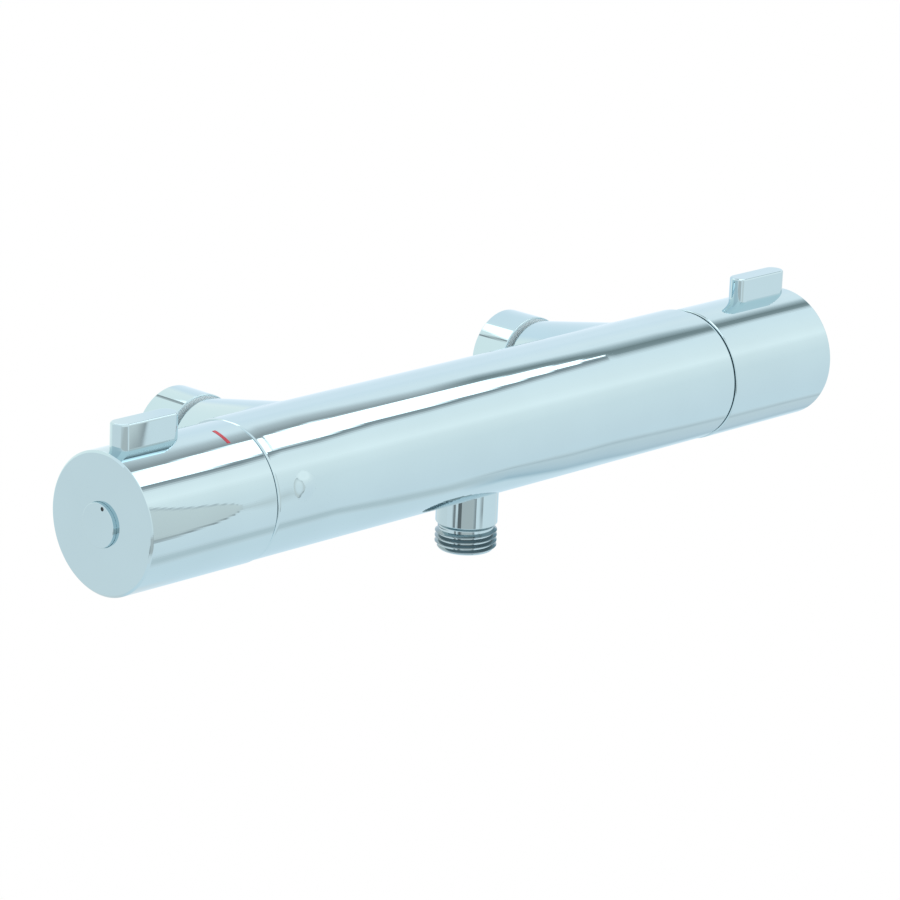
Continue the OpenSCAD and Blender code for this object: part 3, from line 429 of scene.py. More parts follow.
def make_finishes(finishes, sizes):
    """Builds every material and gives them by the name of the slot or place that wears them."""
    groups = {"patches": patch_tone_group(), "lines": turned_lines_group(), "swell": swell_group()}
    chrome, brass, mark = tuple(finishes.chrome), tuple(finishes.brass), tuple(finishes.mark)

    def chromed(name, low=0.012, high=0.035):
        finish = Finish(name, groups, 1.0)
        finish.tone(tinted(chrome, 0.985), tinted(chrome, 1.015), Scale=35.0)
        finish.roughness(low, high, 90.0)
        finish.bump(finish.effect("patches", Scale=14.0), 0.01, 0.00015)
        return finish

    body = chromed("body_chrome")
    centre = round_bar(sizes, SWELL_IN - sizes.body_end, SWELL_ANGLE, sizes.body_radius)
    body.bump(body.effect("swell", Centre=centre), 1.0, 0.0005)
    thread = chromed("thread_chrome", 0.06, 0.14)
    thread.tone(tinted(chrome, 0.42), tinted(chrome, 0.56), Scale=60.0)
    made = {"chrome": chromed("polished_chrome"), "body": body, "thread": thread}
    # The others: slot or place, name, how metallic, two colours and their scale, the roughness (from, to,
    # scale) and the relief (effect, scale, strength, distance)
    for key, name, metallic, first, second, scale, roughness, relief in (
            # The pale nut face ring: a half metallic finish whose pale colour is painted reflection
            ("painted_reflection", "nut_face_painted_reflection", 0.3, (0.82, 0.89, 0.91), (0.87, 0.94, 0.96), 60.0,
             (0.35, 0.5, 90.0), ("patches", 14.0, 0.01, 0.00015)),
            ("brass", "turned_brass", 1.0, tinted(brass, 0.9), tinted(brass, 1.08), 45.0,
             (0.2, 0.34, 120.0), ("lines", 700.0, 0.12, 0.00005)),
            ("copper", "drawn_copper", 1.0, (0.66, 0.30, 0.14), (0.74, 0.38, 0.20), 60.0,
             (0.25, 0.4, 90.0), ("patches", 300.0, 0.1, 0.0001)),
            ("steel", "spring_steel", 1.0, (0.48, 0.49, 0.50), (0.60, 0.61, 0.62), 80.0,
             (0.2, 0.35, 150.0), ("lines", 1500.0, 0.1, 0.00003)),
            ("rubber", "black_rubber", 0.0, (0.014, 0.014, 0.015), (0.03, 0.03, 0.032), 120.0,
             (0.5, 0.75, 200.0), ("patches", 900.0, 0.2, 0.00006)),
            ("pale_plastic", "pale_plastic", 0.0, (0.66, 0.66, 0.62), (0.72, 0.72, 0.69), 50.0,
             (0.35, 0.5, 140.0), ("patches", 700.0, 0.15, 0.00005)),
            ("dark_plastic", "dark_plastic", 0.0, (0.02, 0.02, 0.022), (0.035, 0.035, 0.04), 60.0,
             (0.35, 0.5, 140.0), ("patches", 700.0, 0.2, 0.00005)),
            ("ceramic", "lapped_ceramic", 0.0, (0.82, 0.80, 0.74), (0.87, 0.86, 0.81), 80.0,
             (0.08, 0.16, 200.0), None),
            ("red", "mark_enamel", 0.0, tinted(mark, 0.9), tinted(mark, 1.15), 200.0,
             (0.3, 0.45, 300.0), ("patches", 1200.0, 0.2, 0.00003))):
        finish = Finish(name, groups, metallic)
        finish.tone(first, second, Scale=scale).roughness(*roughness)
        if relief:
            effect, scale, strength, distance = relief
            finish.bump(finish.effect(effect, Scale=scale), strength, distance)
        made[key] = finish
    return {key: finish.material for key, finish in made.items()}


# ---- The boss and its cast blend ----

def boss_sections(sizes):
    """Gives the function that draws a boss at an angle about its inlet: points from its bore over its end
    and side and the cast blend onto the bar."""
    axis_y, radius, depth, blend = sizes.axis_y, sizes.body_radius, sizes.rear_depth, sizes.boss_blend
    face_r, shoulder, round_r, end = 0.0108, 0.0025, 0.0045, 0.0453
    root_r, root_y, bore_r, bore_foot, lip, sunk = 0.02235, 0.006, 0.0104, 0.020, 0.0003, 0.0006
    # The side leans so that it meets the elliptical shoulder smoothly at the angle turn
    lean, turn = 0.0, 0.0
    for _ in range(8):
        lean = math.atan((root_r - face_r - round_r * math.cos(turn))
                         / (end - shoulder + shoulder * math.sin(turn) - root_y))
        turn = math.atan(math.tan(lean) * shoulder / round_r)
    tangent_r = face_r + round_r * math.cos(turn)
    tangent_y = end - shoulder + shoulder * math.sin(turn)

    def cone_r(y):
        return tangent_r + (tangent_y - y) * math.tan(lean)

    def section(phi):
        side = abs(math.sin(phi))

        def clearance(y):
            """How far off the bar a ball of the blend's radius is where it touches the side at y."""
            out = cone_r(y) + blend / math.cos(lean)
            return math.hypot(out * side, y - depth) - radius - blend

        # The blend's middle: searched downwards in steps, then by halving the step
        high, lowest, step = 0.055, 0.004, 0.0005
        while clearance(high) > 0 and high > lowest:
            high -= step
        low, high = high, high + step
        for _ in range(40):
            middle = (low + high) / 2
            low, high = (middle, high) if clearance(middle) < 0 else (low, middle)

        def at(out, y):
            return Vector((out * math.cos(phi), y, out * math.sin(phi)))

        y = (low + high) / 2
        centre = at(cone_r(y) + blend / math.cos(lean), y)
        to_cone = -at(math.cos(lean), math.sin(lean))
        to_bar = -Vector((0, y - depth, centre.z)).normalized()
        rows = [at(bore_r, bore_foot), at(bore_r, end - lip), at(bore_r + lip, end), at(face_r, end)]
        for i in range(1, 9):
            a = turn + (math.pi / 2 - turn) * (1 - i / 8)
            rows.append(at(face_r + round_r * math.cos(a), end - shoulder + shoulder * math.sin(a)))
        foot = centre + to_cone * blend
        start = rows[-1]
        rows += [start.lerp(foot, i / 4) for i in range(1, 5)]
        rows += [centre + to_cone.slerp(to_bar, i / 14) * blend for i in range(1, 15)]
        rows.append(centre + to_bar * (blend + sunk))
        rows.append(rows[0])
        return [row + Vector((0, axis_y, 0)) for row in rows]

    return section


def boss_shell(name, sizes, x):
    """A boss about its inlet's centre at x: a closed grid of the sections all round."""
    section = boss_sections(sizes)
    steps = sizes.spin_steps
    # The small turn keeps the sections off the exact quarter turns
    columns = [section(math.tau * i / steps + 1e-4) for i in range(steps)]
    columns.append(columns[0])
    rows = len(columns[0])
    deselect_all()
    bpy.ops.mesh.primitive_grid_add(x_subdivisions=rows - 1, y_subdivisions=steps, size=1)
    piece = named(name)
    by_place = sorted(piece.data.vertices, key=lambda v: (round(v.co.y, 6), round(v.co.x, 6)))
    for n, v in enumerate(by_place):
        v.co = columns[n // rows][n % rows] + Vector((x, 0, 0))
    face_outwards()
    soften(piece, 0)
    return piece


def front_swell(sizes):
    """The low round swell: a flat dome wrapped on the bar, its edge just under the surface."""
    height, sunk, foot, rings = 0.0003, 0.000006, -0.0003, 12
    dome = [(SWELL_REACH * i / rings, height / 2 * (1 + math.cos(math.pi * i / rings)) - sunk)
            for i in range(rings + 1)]
    outline = dome + [(SWELL_REACH, foot), (0, foot)]
    swell = spun("front_swell", outline, "Z", (0, 0, 0), 96, closed=False)
    for v in swell.data.vertices:
        angle = SWELL_ANGLE - v.co.y / sizes.body_radius
        v.co = round_bar(sizes, SWELL_IN - sizes.body_end + v.co.x, angle, sizes.body_radius + v.co.z)
    soften(swell, 0)
    return swell


class VALVE_OT_body(bpy.types.Operator):
    """Models the polished body with its deeper rear, its spigots and its two blended bosses"""

    bl_idname = "valve.body"
    bl_label = "Body"

    def execute(self, context):
        s = context.scene.valve_sizes
        end, r = s.body_end, s.body_radius
        # Each end of the bar falls away a little, along an arc
        length, drop = 0.0012, 0.0002
        arc = (length ** 2 + drop ** 2) / (2 * drop)
        crown = [(r - arc * (1 - math.cos(a)), end - length + arc * math.sin(a))
                 for a in (math.asin(length / arc) * i / 6 for i in range(7))]
        spigot_r, spigot_end, passage_r = 0.0186, 0.124, 0.0065
        left_bore_r, left_floor, right_bore_r, right_floor = 0.0166, -0.0505, 0.0122, 0.062
        outline = [
            (left_bore_r, -spigot_end), (spigot_r, -spigot_end), (spigot_r, -end),
            *((out, -x) for out, x in reversed(crown)), *crown,
            (spigot_r, end), (spigot_r, spigot_end), (right_bore_r, spigot_end), (right_bore_r, right_floor),
            (passage_r, right_floor), (passage_r, left_floor), (left_bore_r, left_floor),
        ]
        bar = spun("body_shell", outline, "X", (0, s.axis_y, 0), 256)
        # Only the outer skin of the rear half is moved back, so that the spigots and bores stay round
        skin_r = 0.021
        for v in bar.data.vertices:
            y = v.co.y - s.axis_y
            if y > 1e-6 and math.hypot(y, v.co.z) > skin_r:
                v.co.y += s.rear_depth
        soften(bar, 0.00015, 2)
        swell = front_swell(s)
        bosses = [boss_shell("boss", s, side * s.inlet_x) for side in (-1, 1)]
        shell = join("body_shell", [bar, swell] + bosses)
        finish_piece(shell, "valve", "chrome", "body", "body_casting")
        return {"FINISHED"}


def knob_piece(name, sizes, side):
    """A knob: a turned cup with a recess for its cap, and the fin on top."""
    r, end = sizes.knob_radius, sizes.knob_end
    start = sizes.body_end + sizes.knob_gap
    bore, lip, shoulder, recess_r, screw_r = r - 0.0026, 0.0003, 0.0007, 0.0072, 0.0024
    seat, roof = end - 0.0016, end - 0.004
    outline = [
        (bore, start), (r - lip, start), (r, start + lip), (r, end - shoulder), (r - shoulder, end),
        (recess_r, end), (recess_r, seat), (screw_r, seat), (screw_r, roof), (bore, roof),
    ]
    cup = spun(name, [(radius, side * x) for radius, x in outline], "X", (0, sizes.axis_y, 0), 256)
    soften(cup, 0.00018, 3)
    width, length, fin_setback, fin_sunk = sizes.fin_width, sizes.fin_length, 0.0043, 0.0013
    middle = side * (end - fin_setback - length / 2)
    foot, top = r - fin_sunk, r + sizes.fin_height
    deselect_all()
    bpy.ops.mesh.primitive_cube_add(size=1, location=(middle, sizes.axis_y, (foot + top) / 2))
    fin = named(name + "_fin")
    fin.scale = (length, width, top - foot)
    place_in_mesh(fin)
    # Its four upright edges make round ends, then its top edge is rounded all along
    bevel_edges(fin, lambda a, b: abs(a.z - b.z) > (top - foot) / 2, width / 2 - 0.0001, 14)
    bevel_edges(fin, lambda a, b: min(a.z, b.z) > top - 1e-5, 0.0007, 4)
    soften(fin, 0)
    return join(name, [cup, fin])


class VALVE_OT_knobs(bpy.types.Operator):
    """Models both knobs with their fins and cap recesses"""

    bl_idname = "valve.knobs"
    bl_label = "Knobs"

    def execute(self, context):
        s = context.scene.valve_sizes
        for side, body, node in ((-1, "temperature_control", "temperature_knob"),
                                 (1, "flow_control", "flow_knob")):
            knob = knob_piece(node + "_shell", s, side)
            finish_piece(knob, body, "chrome", "chrome", node)
        return {"FINISHED"}


class VALVE_OT_caps(bpy.types.Operator):
    """Models the raised screw caps, each with its pry hole and a dark disc of painted shade down in it"""

    bl_idname = "valve.caps"
    bl_label = "Screw caps"

    def execute(self, context):
        s = context.scene.valve_sizes
        seat, top, cap_r = s.knob_end - 0.00155, s.knob_end + 0.0014, 0.00719
        pry_r, pry_out, pry_angle, pry_depth = 0.0007, 0.0061, math.radians(20), 0.0022

        def plug(name, x, depth):
            """A round bar where the pry hole is, along the valve and centred at x."""
            deselect_all()
            bpy.ops.mesh.primitive_cylinder_add(
                radius=pry_r, depth=depth, vertices=32, location=round_bar(s, x, pry_angle, pry_out),
                rotation=(0, math.pi / 2, 0))
            return named(name)

        for side, body, node in ((-1, "temperature_control", "temperature_screw_cap"),
                                 (1, "flow_control", "flow_screw_cap")):
            outline = [(0, side * seat), (cap_r, side * seat), (cap_r, side * top), (0, side * top)]
            cap = spun(node + "_shell", outline, "X", (0, s.axis_y, 0), 96, closed=False)
            soften(cap, 0.0002, 3)
            drill = plug("pry_drill", side * top, 2 * pry_depth)
            hole = cap.modifiers.new("pry_hole", "BOOLEAN")
            hole.operation, hole.solver, hole.object = "DIFFERENCE", "EXACT", drill
            apply_all(cap)
            bpy.data.objects.remove(drill)
            finish_piece(cap, body, "chrome", "chrome", node)
            # A dark disc just under the top of the pry hole: painted shade for the hole's dark floor, wearing
            # the dark plastic finish
            shade = plug(node + "_pry_shade", side * (top - 0.0005), 0.0004)
            place_in_mesh(shade)
            finish_piece(shade, body, "dark_plastic", "dark_plastic")
        return {"FINISHED"}


class VALVE_OT_mark(bpy.types.Operator):
    """Models the enamelled mark that curves over the temperature knob"""

    bl_idname = "valve.mark"
    bl_label = "Temperature mark"

    def execute(self, context):
        s = context.scene.valve_sizes
        # How far the line is in from the knob's edge, its width, and its first angle and reach in degrees
        setback, width, first, reach = 0.0099, 0.0013, 9, 18.5
        x, r = -(s.body_end + s.knob_gap + setback), s.knob_radius
        deselect_all()
        bpy.ops.mesh.primitive_grid_add(x_subdivisions=1, y_subdivisions=24, size=1)
        mark = named("temperature_mark_line")
        for v in mark.data.vertices:
            angle = math.radians(first + reach * (v.co.y + 0.5))
            v.co = round_bar(s, x + width * v.co.x, angle, r)
        thick = mark.modifiers.new("enamel", "SOLIDIFY")
        thick.thickness, thick.offset = 0.0002, 0.0
        apply_all(mark)
        face_outwards()
        soften(mark, 0.00004, 2)
        finish_piece(mark, "temperature_control", "red", "red", "temperature_mark")
        return {"FINISHED"}


class VALVE_OT_union_nuts(bpy.types.Operator):
    """Models the round union nuts with their inner pipe threads"""

    bl_idname = "valve.union_nuts"
    bl_label = "Union nuts"

    def execute(self, context):
        s = context.scene.valve_sizes
        front, mouth, wall = s.axis_y + 0.046, 0.0, 0.0025
        hole_r, outer_r, edge = 0.0106, 0.016, 0.0005
        # The G3/4 thread, its root set out a little for the bevel at its mouth
        root, crest, pitch = 0.01322, 0.01206, 0.001814
        ends = mouth - 0.0077, mouth - 0.0004
        for side, body, node in ((-1, "nut_left", "union_nut_left"), (1, "nut_right", "union_nut_right")):
            centre = (side * s.inlet_x, 0, 0)
            outline = [
                (hole_r, front), (outer_r, front), (outer_r, mouth), (root + 0.0005, mouth),
                (root, mouth - 0.0006), (root, front + wall), (hole_r, front + wall),
            ]
            ring = spun(node + "_shell", outline, "Y", centre, s.spin_steps)
            soften(ring, edge, 4)
            thread = helix(node + "_thread", ends, pitch, root + 0.0001, crest, "Y", centre, 72, 1.0)
            soften(thread, 0)
            nut = join(node + "_shell", [ring, thread])
            finish_piece(nut, body, "chrome", "chrome", node)
            # A thin pale ring on the front, inside the nut's rounded edges: its pale tone is painted
            # reflection of the bright surround on the chrome face, and its darkening near the boss comes from
            # the lights
            inner, outer, ahead, behind = hole_r + 0.0002, outer_r - edge, front - 0.00008, front + 0.0002
            outline = [(inner, ahead), (outer, ahead), (outer, behind), (inner, behind)]
            face = spun(node + "_face", outline, "Y", centre, s.spin_steps)
            soften(face, 0)
            finish_piece(face, body, "chrome", "painted_reflection")
        return {"FINISHED"}


class VALVE_OT_outlet(bpy.types.Operator):
    """Models the outlet nipple with its neck, groove and hose thread"""

    bl_idname = "valve.outlet"
    bl_label = "Outlet"

    def execute(self, context):
        s = context.scene.valve_sizes
        centre = (0, s.axis_y, 0)
        # The G1/2 thread runs from the groove under the neck to the end
        major, root, pitch = 0.0104775, 0.00932, 0.001814
        bore_r, stub_r, stub_top, neck_top, relief, end = 0.0072, 0.0089, -0.013, -0.0195, -0.0337, -0.0413
        outline = [
            (bore_r, stub_top), (stub_r, stub_top), (stub_r, neck_top), (major, neck_top),
            (major, relief + 0.002), (major - 0.0008, relief + 0.0014), (root, relief + 0.0008),
            (root, end + 0.0003), (root - 0.0003, end), (bore_r, end),
        ]
        neck = spun("outlet_nipple_shell", outline, "Z", centre, 160)
        soften(neck, 0.00015, 2)
        ends = end + 0.0004, relief + 0.0005
        thread = helix("outlet_thread", ends, pitch, root - 0.0001, major, "Z", centre, 96, 1.2)
        soften(thread, 0)
        finish_piece(neck, "valve", "chrome", "chrome", "outlet_nipple")
        finish_piece(thread, "valve", "chrome", "thread")
        return {"FINISHED"}


class VALVE_OT_finishes(bpy.types.Operator):
    """Builds every finish and gives each piece carried over from the frame its own"""

    bl_idname = "valve.finishes"
    bl_label = "Finishes"

    def execute(self, context):
        FINISHES.update(make_finishes(context.scene.valve_finishes, context.scene.valve_sizes))
        slots = {part["node"]: part["material_slot"] for part in frame["record"]["subparts"]}
        for node, piece in frame["nodes"].items():
            material = FINISHES[slots[node]]
            for slot in piece.material_slots:
                slot.material = material
            if not piece.material_slots:
                piece.data.materials.append(material)
        return {"FINISHED"}


# ---- Stage ----

# The tent's left and right ends, and the strength of its light and of its sheets' light
TENT_ENDS, TENT_LEVEL, SHEET_LEVEL = (-0.345, 0.75), 1.5, 2.5
# The white surround's strength where it isn't seen but only lights things
SURROUND_LEVEL = 0.85
# The floor: its size, how much of what is seen of it glows, how strongly, and its grey where it is lit
FLOOR_SIZE, FLOOR_SHARE, FLOOR_GLOW, FLOOR_TONE = 24, 0.88, 1.03, 0.92


def camera_axes(stage):
    """The directions to the right of the camera, above it and behind it."""
    a, e, roll = stage.azimuth, stage.elevation, stage.roll
    back = Vector((math.sin(a) * math.cos(e), -math.cos(a) * math.cos(e), math.sin(e)))
    right = (-back).cross(Vector((0, 0, 1))).normalized()
    up = right.cross(-back)
    return right * math.cos(roll) + up * math.sin(roll), up * math.cos(roll) - right * math.sin(roll), back


def seen_at(scene, x, angle):
    """Where the bar, at x and an angle from its top to its front, shows the tent: (x, angle on the tent)."""
    sizes, stage = scene.valve_sizes, scene.valve_stage
    r = sizes.body_radius
    normal = Vector((0, -math.sin(angle), math.cos(angle)))
    point = Vector((x, r * normal.y, r * normal.z))
    view = (scene.camera.location - Vector((0, sizes.axis_y, 0)) - point).normalized()
    ray = 2 * normal.dot(view) * normal - view
    a, b = ray.y ** 2 + ray.z ** 2, point.y * ray.y + point.z * ray.z
    length = (math.sqrt(b * b - a * (r * r - stage.tent_radius ** 2)) - b) / a
    hit = point + ray * length
    turned = math.atan2(-hit.y, hit.z)
    return hit.x, turned + math.tau if turned < -math.pi / 2 else turned


def light_material(name, stops, level, ends):
    """Light that changes across a sheet. Each stop is a place, a grey or colour, and how far it covers what
    is behind. The light fades out along the first and last shares of the sheet that ends gives."""
    material = bpy.data.materials.new(name)
    material.use_nodes = True
    tree = material.node_tree
    tree.nodes.clear()
    across = add_node(tree, "SeparateXYZ")
    ramp = add_node(tree, "ValToRGB")
    ramp.color_ramp.elements.remove(ramp.color_ramp.elements[1])
    for n, (place, tone, cover) in enumerate(stops):
        colour = tone if isinstance(tone, tuple) else (tone,) * 3
        stop = ramp.color_ramp.elements[0] if n == 0 else ramp.color_ramp.elements.new(place)
        stop.position, stop.color = place, (*(c / level for c in colour), cover)
    along = add_node(tree, "ValToRGB")
    black, white = (0, 0, 0, 1), (1, 1, 1, 1)
    for stop, end in zip(along.color_ramp.elements, ends):
        stop.color = black if end else white
    for place in {ends[0], 1 - ends[1]} - {0, 1}:
        along.color_ramp.elements.new(place).color = white
    cover = add_node(tree, "Math")
    cover.operation = "MULTIPLY"
    glow = add_node(tree, "Emission", Strength=level)
    mix = add_node(tree, "MixShader")
    wire(tree, (add_node(tree, "UVMap").outputs["UV"], across.inputs[0]),
         (across.outputs["Y"], ramp.inputs["Fac"]), (across.outputs["X"], along.inputs["Fac"]),
         (ramp.outputs["Alpha"], cover.inputs[0]), (along.outputs["Color"], cover.inputs[1]),
         (ramp.outputs["Color"], glow.inputs["Color"]), (cover.outputs[0], mix.inputs["Fac"]),
         (add_node(tree, "BsdfTransparent").outputs[0], mix.inputs[1]), (glow.outputs[0], mix.inputs[2]),
         (mix.outputs[0], add_node(tree, "OutputMaterial").inputs["Surface"]))
    return material


def light_sheet(scene, name, columns, fades, stops, inset, rows, level=SHEET_LEVEL):
    """A curved sheet of the tent, seen only in reflections. A column is two (x, angle) ends on the tent.
    The sheet is drawn out by the two lengths in fades, and fades out there."""
    (x0, a0), (x1, a1) = columns[0]
    if fades[0]:
        columns = [((x0 - fades[0], a0), (x1 - fades[0], a1))] + columns
    (x0, a0), (x1, a1) = columns[-1]
    if fades[1]:
        columns = columns + [((x0 + fades[1], a0), (x1 + fades[1], a1))]
    ends = [1 / (len(columns) - 1) if fade else 0 for fade in fades]
    # Steps between two columns
    splits = 8
    count = (len(columns) - 1) * splits
    deselect_all()
    bpy.ops.mesh.primitive_grid_add(x_subdivisions=count, y_subdivisions=rows, size=1)
    sheet = named(name)
    radius = scene.valve_stage.tent_radius - inset
    for v in sheet.data.vertices:
        place, part = divmod(round((v.co.x + 0.5) * count), splits)
        near, far = columns[place], columns[min(place + 1, len(columns) - 1)]
        (x0, a0), (x1, a1) = (Vector(m).lerp(Vector(n), part / splits) for m, n in zip(near, far))
        share = v.co.y + 0.5
        x, angle = x0 + (x1 - x0) * share, a0 + (a1 - a0) * share
        v.co = round_bar(scene.valve_sizes, x, angle, radius)
    sheet.data.materials.append(light_material(name + "_light", stops, level, ends))
    sheet.visible_camera = sheet.visible_diffuse = sheet.visible_shadow = sheet.visible_transmission = False


# The tent's tones round the bar: (degrees from the top to the front, red, green, blue)
TENT_TONES = (
    (0, 1.16, 1.17, 1.18), (40, 1.26, 1.23, 1.20), (53, 1.34, 1.30, 1.26), (62, 1.20, 1.18, 1.15),
    (80, 1.10, 1.10, 1.09), (130, 1.01, 1.03, 1.05), (180, 0.92, 0.99, 1.03), (220, 0.78, 0.92, 1.00),
    (240, 0.66, 0.84, 0.94), (262, 0.92, 1.03, 1.12), (305, 1.02, 1.08, 1.13), (322, 1.15, 1.16, 1.17),
)
WHITE_EDGES = ((0.0, 2.3, 0), (0.07, 2.3, 1), (0.93, 2.3, 1), (1.0, 2.3, 0))
# Sheets placed by where the bar shows them: columns of (x in mm, from and to in degrees), how far they fade
# out beyond both ends in metres, and their light across
BAR_SHEETS = (
    ("dark_above", ((-166, 17, 34), (-155, 18, 34), (-140, 17, 33), (-125, 17, 32), (-112, 16, 31.5),
                    (-107, 13, 30), (-90, 12, 28.5), (-65, 15, 28.5), (-40, 17, 29.5), (-10, 16.5, 30)),
     (0.05, 0.03),
     ((0.0, 0.8, 0), (0.35, 0.62, 0.7), (0.75, 0.48, 1), (1.0, 0.5, 1))),
    ("dark_above_right", ((-10, 16.5, 30), (20, 18, 31), (40, 19, 34), (55, 19, 39), (80, 19, 38.5),
                          (105, 21.5, 37), (130, 21.5, 36), (166, 21, 36)), (0.03, 0.05),
     ((0.0, 0.8, 0), (0.25, (0.55, 0.6, 0.61), 0.8), (0.5, (0.30, 0.34, 0.34), 1),
      (0.7, (0.36, 0.40, 0.40), 1), (1.0, 0.8, 0))),
    ("dark_below", ((-166, 46, 52), (-140, 46, 52), (-125, 45, 51.5), (-112, 43.5, 50), (-107, 42.5, 48),
                    (-90, 42, 48), (-65, 39, 45.5), (-40, 39, 45), (-10, 37, 43.5), (20, 34, 41),
                    (40, 32.5, 40), (50, 31.8, 39)), (0.05, 0),
     ((0.0, 0.5, 1), (0.3, (0.34, 0.37, 0.38), 1), (0.55, 0.5, 0.8), (1.0, 0.9, 0))),
    ("left_knob_white", ((-166, 32.5, 47), (-155, 32, 47), (-140, 30.5, 46.5), (-125, 29.5, 45.5),
                         (-111, 29, 44)), (0.03, 0), WHITE_EDGES),
    ("body_white", ((-110.9, 27.5, 43.5), (-107, 27.5, 43.2), (-90, 25.5, 43), (-80, 26, 41.5),
                    (-65, 26, 39.5), (-40, 26.3, 39.5), (-10, 26.8, 37.8), (20, 28.5, 34.7), (35, 30, 33.2),
                    (48, 31.4, 31.9)), (0, 0), WHITE_EDGES),
    ("knob_pencil", ((-172, 62, 92), (-166, 64, 92), (-158, 68, 91.5), (-150, 71, 90), (-142, 73, 88.7),
                     (-135, 76, 86), (-131, 79.5, 82.5)), (0.05, 0),
     ((0.0, 0.62, 0), (0.05, 0.72, 1), (0.12, (0.96, 0.94, 0.90), 1), (0.84, (0.90, 0.88, 0.85), 1),
      (0.94, 0.48, 1), (1.0, 0.9, 0))),
    ("pencil_tail", ((-133, 79, 84), (-127, 78, 86), (-120, 76, 88), (-112, 74, 87)), (0, 0.01),
     ((0.0, 0.9, 0), (0.5, (0.84, 0.84, 0.82), 0.75), (1.0, 0.9, 0))),
    ("low_line", ((-166, 101, 113), (-140, 101, 112), (-114, 101, 111.5), (-90, 101.5, 111), (-65, 105, 117),
                  (-40, 108, 121), (-10, 107, 123), (20, 108, 136)), (0.05, 0.03),
     ((0.0, 0.9, 0), (0.35, (0.78, 0.82, 0.83), 1), (0.6, (0.78, 0.82, 0.83), 1), (1.0, 0.9, 0))),
    ("low_zone", ((-10, 108, 126), (20, 110, 138), (40, 109, 141), (55, 110, 146), (80, 113, 148),
                  (105, 115, 149), (130, 116, 148), (166, 119, 148)), (0.03, 0.05),
     ((0.0, 0.9, 0), (0.12, (0.74, 0.78, 0.80), 1), (0.2, (0.86, 0.9, 0.92), 1), (0.5, (0.74, 0.82, 0.87), 1),
      (0.72, (0.58, 0.70, 0.77), 1), (1.0, (0.7, 0.85, 0.92), 0))),
)
# Sheets that mostly the nuts, the outlet and the fins show, placed on the tent itself in the same way
SIDE_SHEETS = (
    ("left_side", ((-345, 195, 335), (40, 195, 335)), (0, 0.045),
     ((0.0, 0.9, 0), (0.08, (0.92, 0.9, 0.89), 1), (0.36, (0.98, 0.98, 0.97), 1), (0.46, (1.2, 1.2, 1.15), 1),
      (0.92, (1.2, 1.2, 1.15), 1), (1.0, 1.1, 0))),
    ("nut_white", ((-38, 308.5, 326), (50, 308.5, 326)), (0.006, 0.01),
     ((0.0, 2.2, 0), (0.06, 2.2, 1), (1.0, 2.2, 1))),
    ("nut_dark", ((-61, 298, 322), (-52, 298, 322)), (0.006, 0.006),
     ((0.0, 0.6, 0), (0.25, 0.42, 1), (0.75, 0.42, 1), (1.0, 0.6, 0))),
    ("outlet_middle", ((-460, 104, 142), (-360, 98, 135), (-260, 94, 130), (-170, 92, 126),
                       (-86, 92, 124)), (0.04, 0),
     ((0.0, 0.9, 0), (0.2, (0.72, 0.7, 0.68), 1), (0.8, (0.68, 0.66, 0.64), 1), (1.0, 0.8, 0))),
    ("outlet_near", ((-82, 96, 124), (-58, 96, 124)), (0.012, 0.012),
     ((0.0, 0.8, 0), (0.3, 0.4, 1), (0.75, 0.4, 1), (1.0, 0.8, 0))),
    ("outlet_far", ((-660, 136, 161), (-560, 124, 152), (-470, 114, 145)), (0.05, 0.025),
     ((0.0, 0.8, 0), (0.2, 0.2, 1), (0.8, 0.2, 1), (1.0, 0.8, 0))),
    ("outlet_edge", ((-850, 176, 206), (-700, 176, 206)), (0.04, 0.04),
     ((0.0, 0.4, 0), (0.15, 0.3, 1), (0.85, 0.3, 1), (1.0, 0.4, 0))),
)


def make_tent(scene):
    """The tent round the valve and its sheets, each a little further in than the one before."""
    tones = [(a / 360, (r, g, b), 1) for a, r, g, b in TENT_TONES] + [(1.0, TENT_TONES[0][1:], 1)]
    walls = [((x, 0), (x, math.tau)) for x in TENT_ENDS]
    light_sheet(scene, "tent", walls, (0, 0), tones, 0.0, 96, TENT_LEVEL)
    first, step = 0.002, 0.001
    for n, (name, places, fades, stops) in enumerate(BAR_SHEETS):
        columns = [tuple(seen_at(scene, x * MM, math.radians(angle)) for angle in ends)
                   for x, *ends in places]
        light_sheet(scene, name, columns, fades, stops, first + step * n, 8)
    for n, (name, places, fades, stops) in enumerate(SIDE_SHEETS):
        columns = [tuple((x * MM, math.radians(angle)) for angle in ends) for x, *ends in places]
        light_sheet(scene, name, columns, fades, stops, first + step * n, 16)


def seen_share(tree):
    """An output that is 1 for what is seen, also by reflection, and 0 for light that falls on things."""
    path, seen, seen_too = add_node(tree, "LightPath"), add_node(tree, "Math"), add_node(tree, "Math")
    seen.operation = seen_too.operation = "MAXIMUM"
    wire(tree,
         (path.outputs["Is Camera Ray"], seen.inputs[0]), (path.outputs["Is Glossy Ray"], seen.inputs[1]),
         (seen.outputs[0], seen_too.inputs[0]), (path.outputs["Is Transmission Ray"], seen_too.inputs[1]))
    return seen_too.outputs[0]


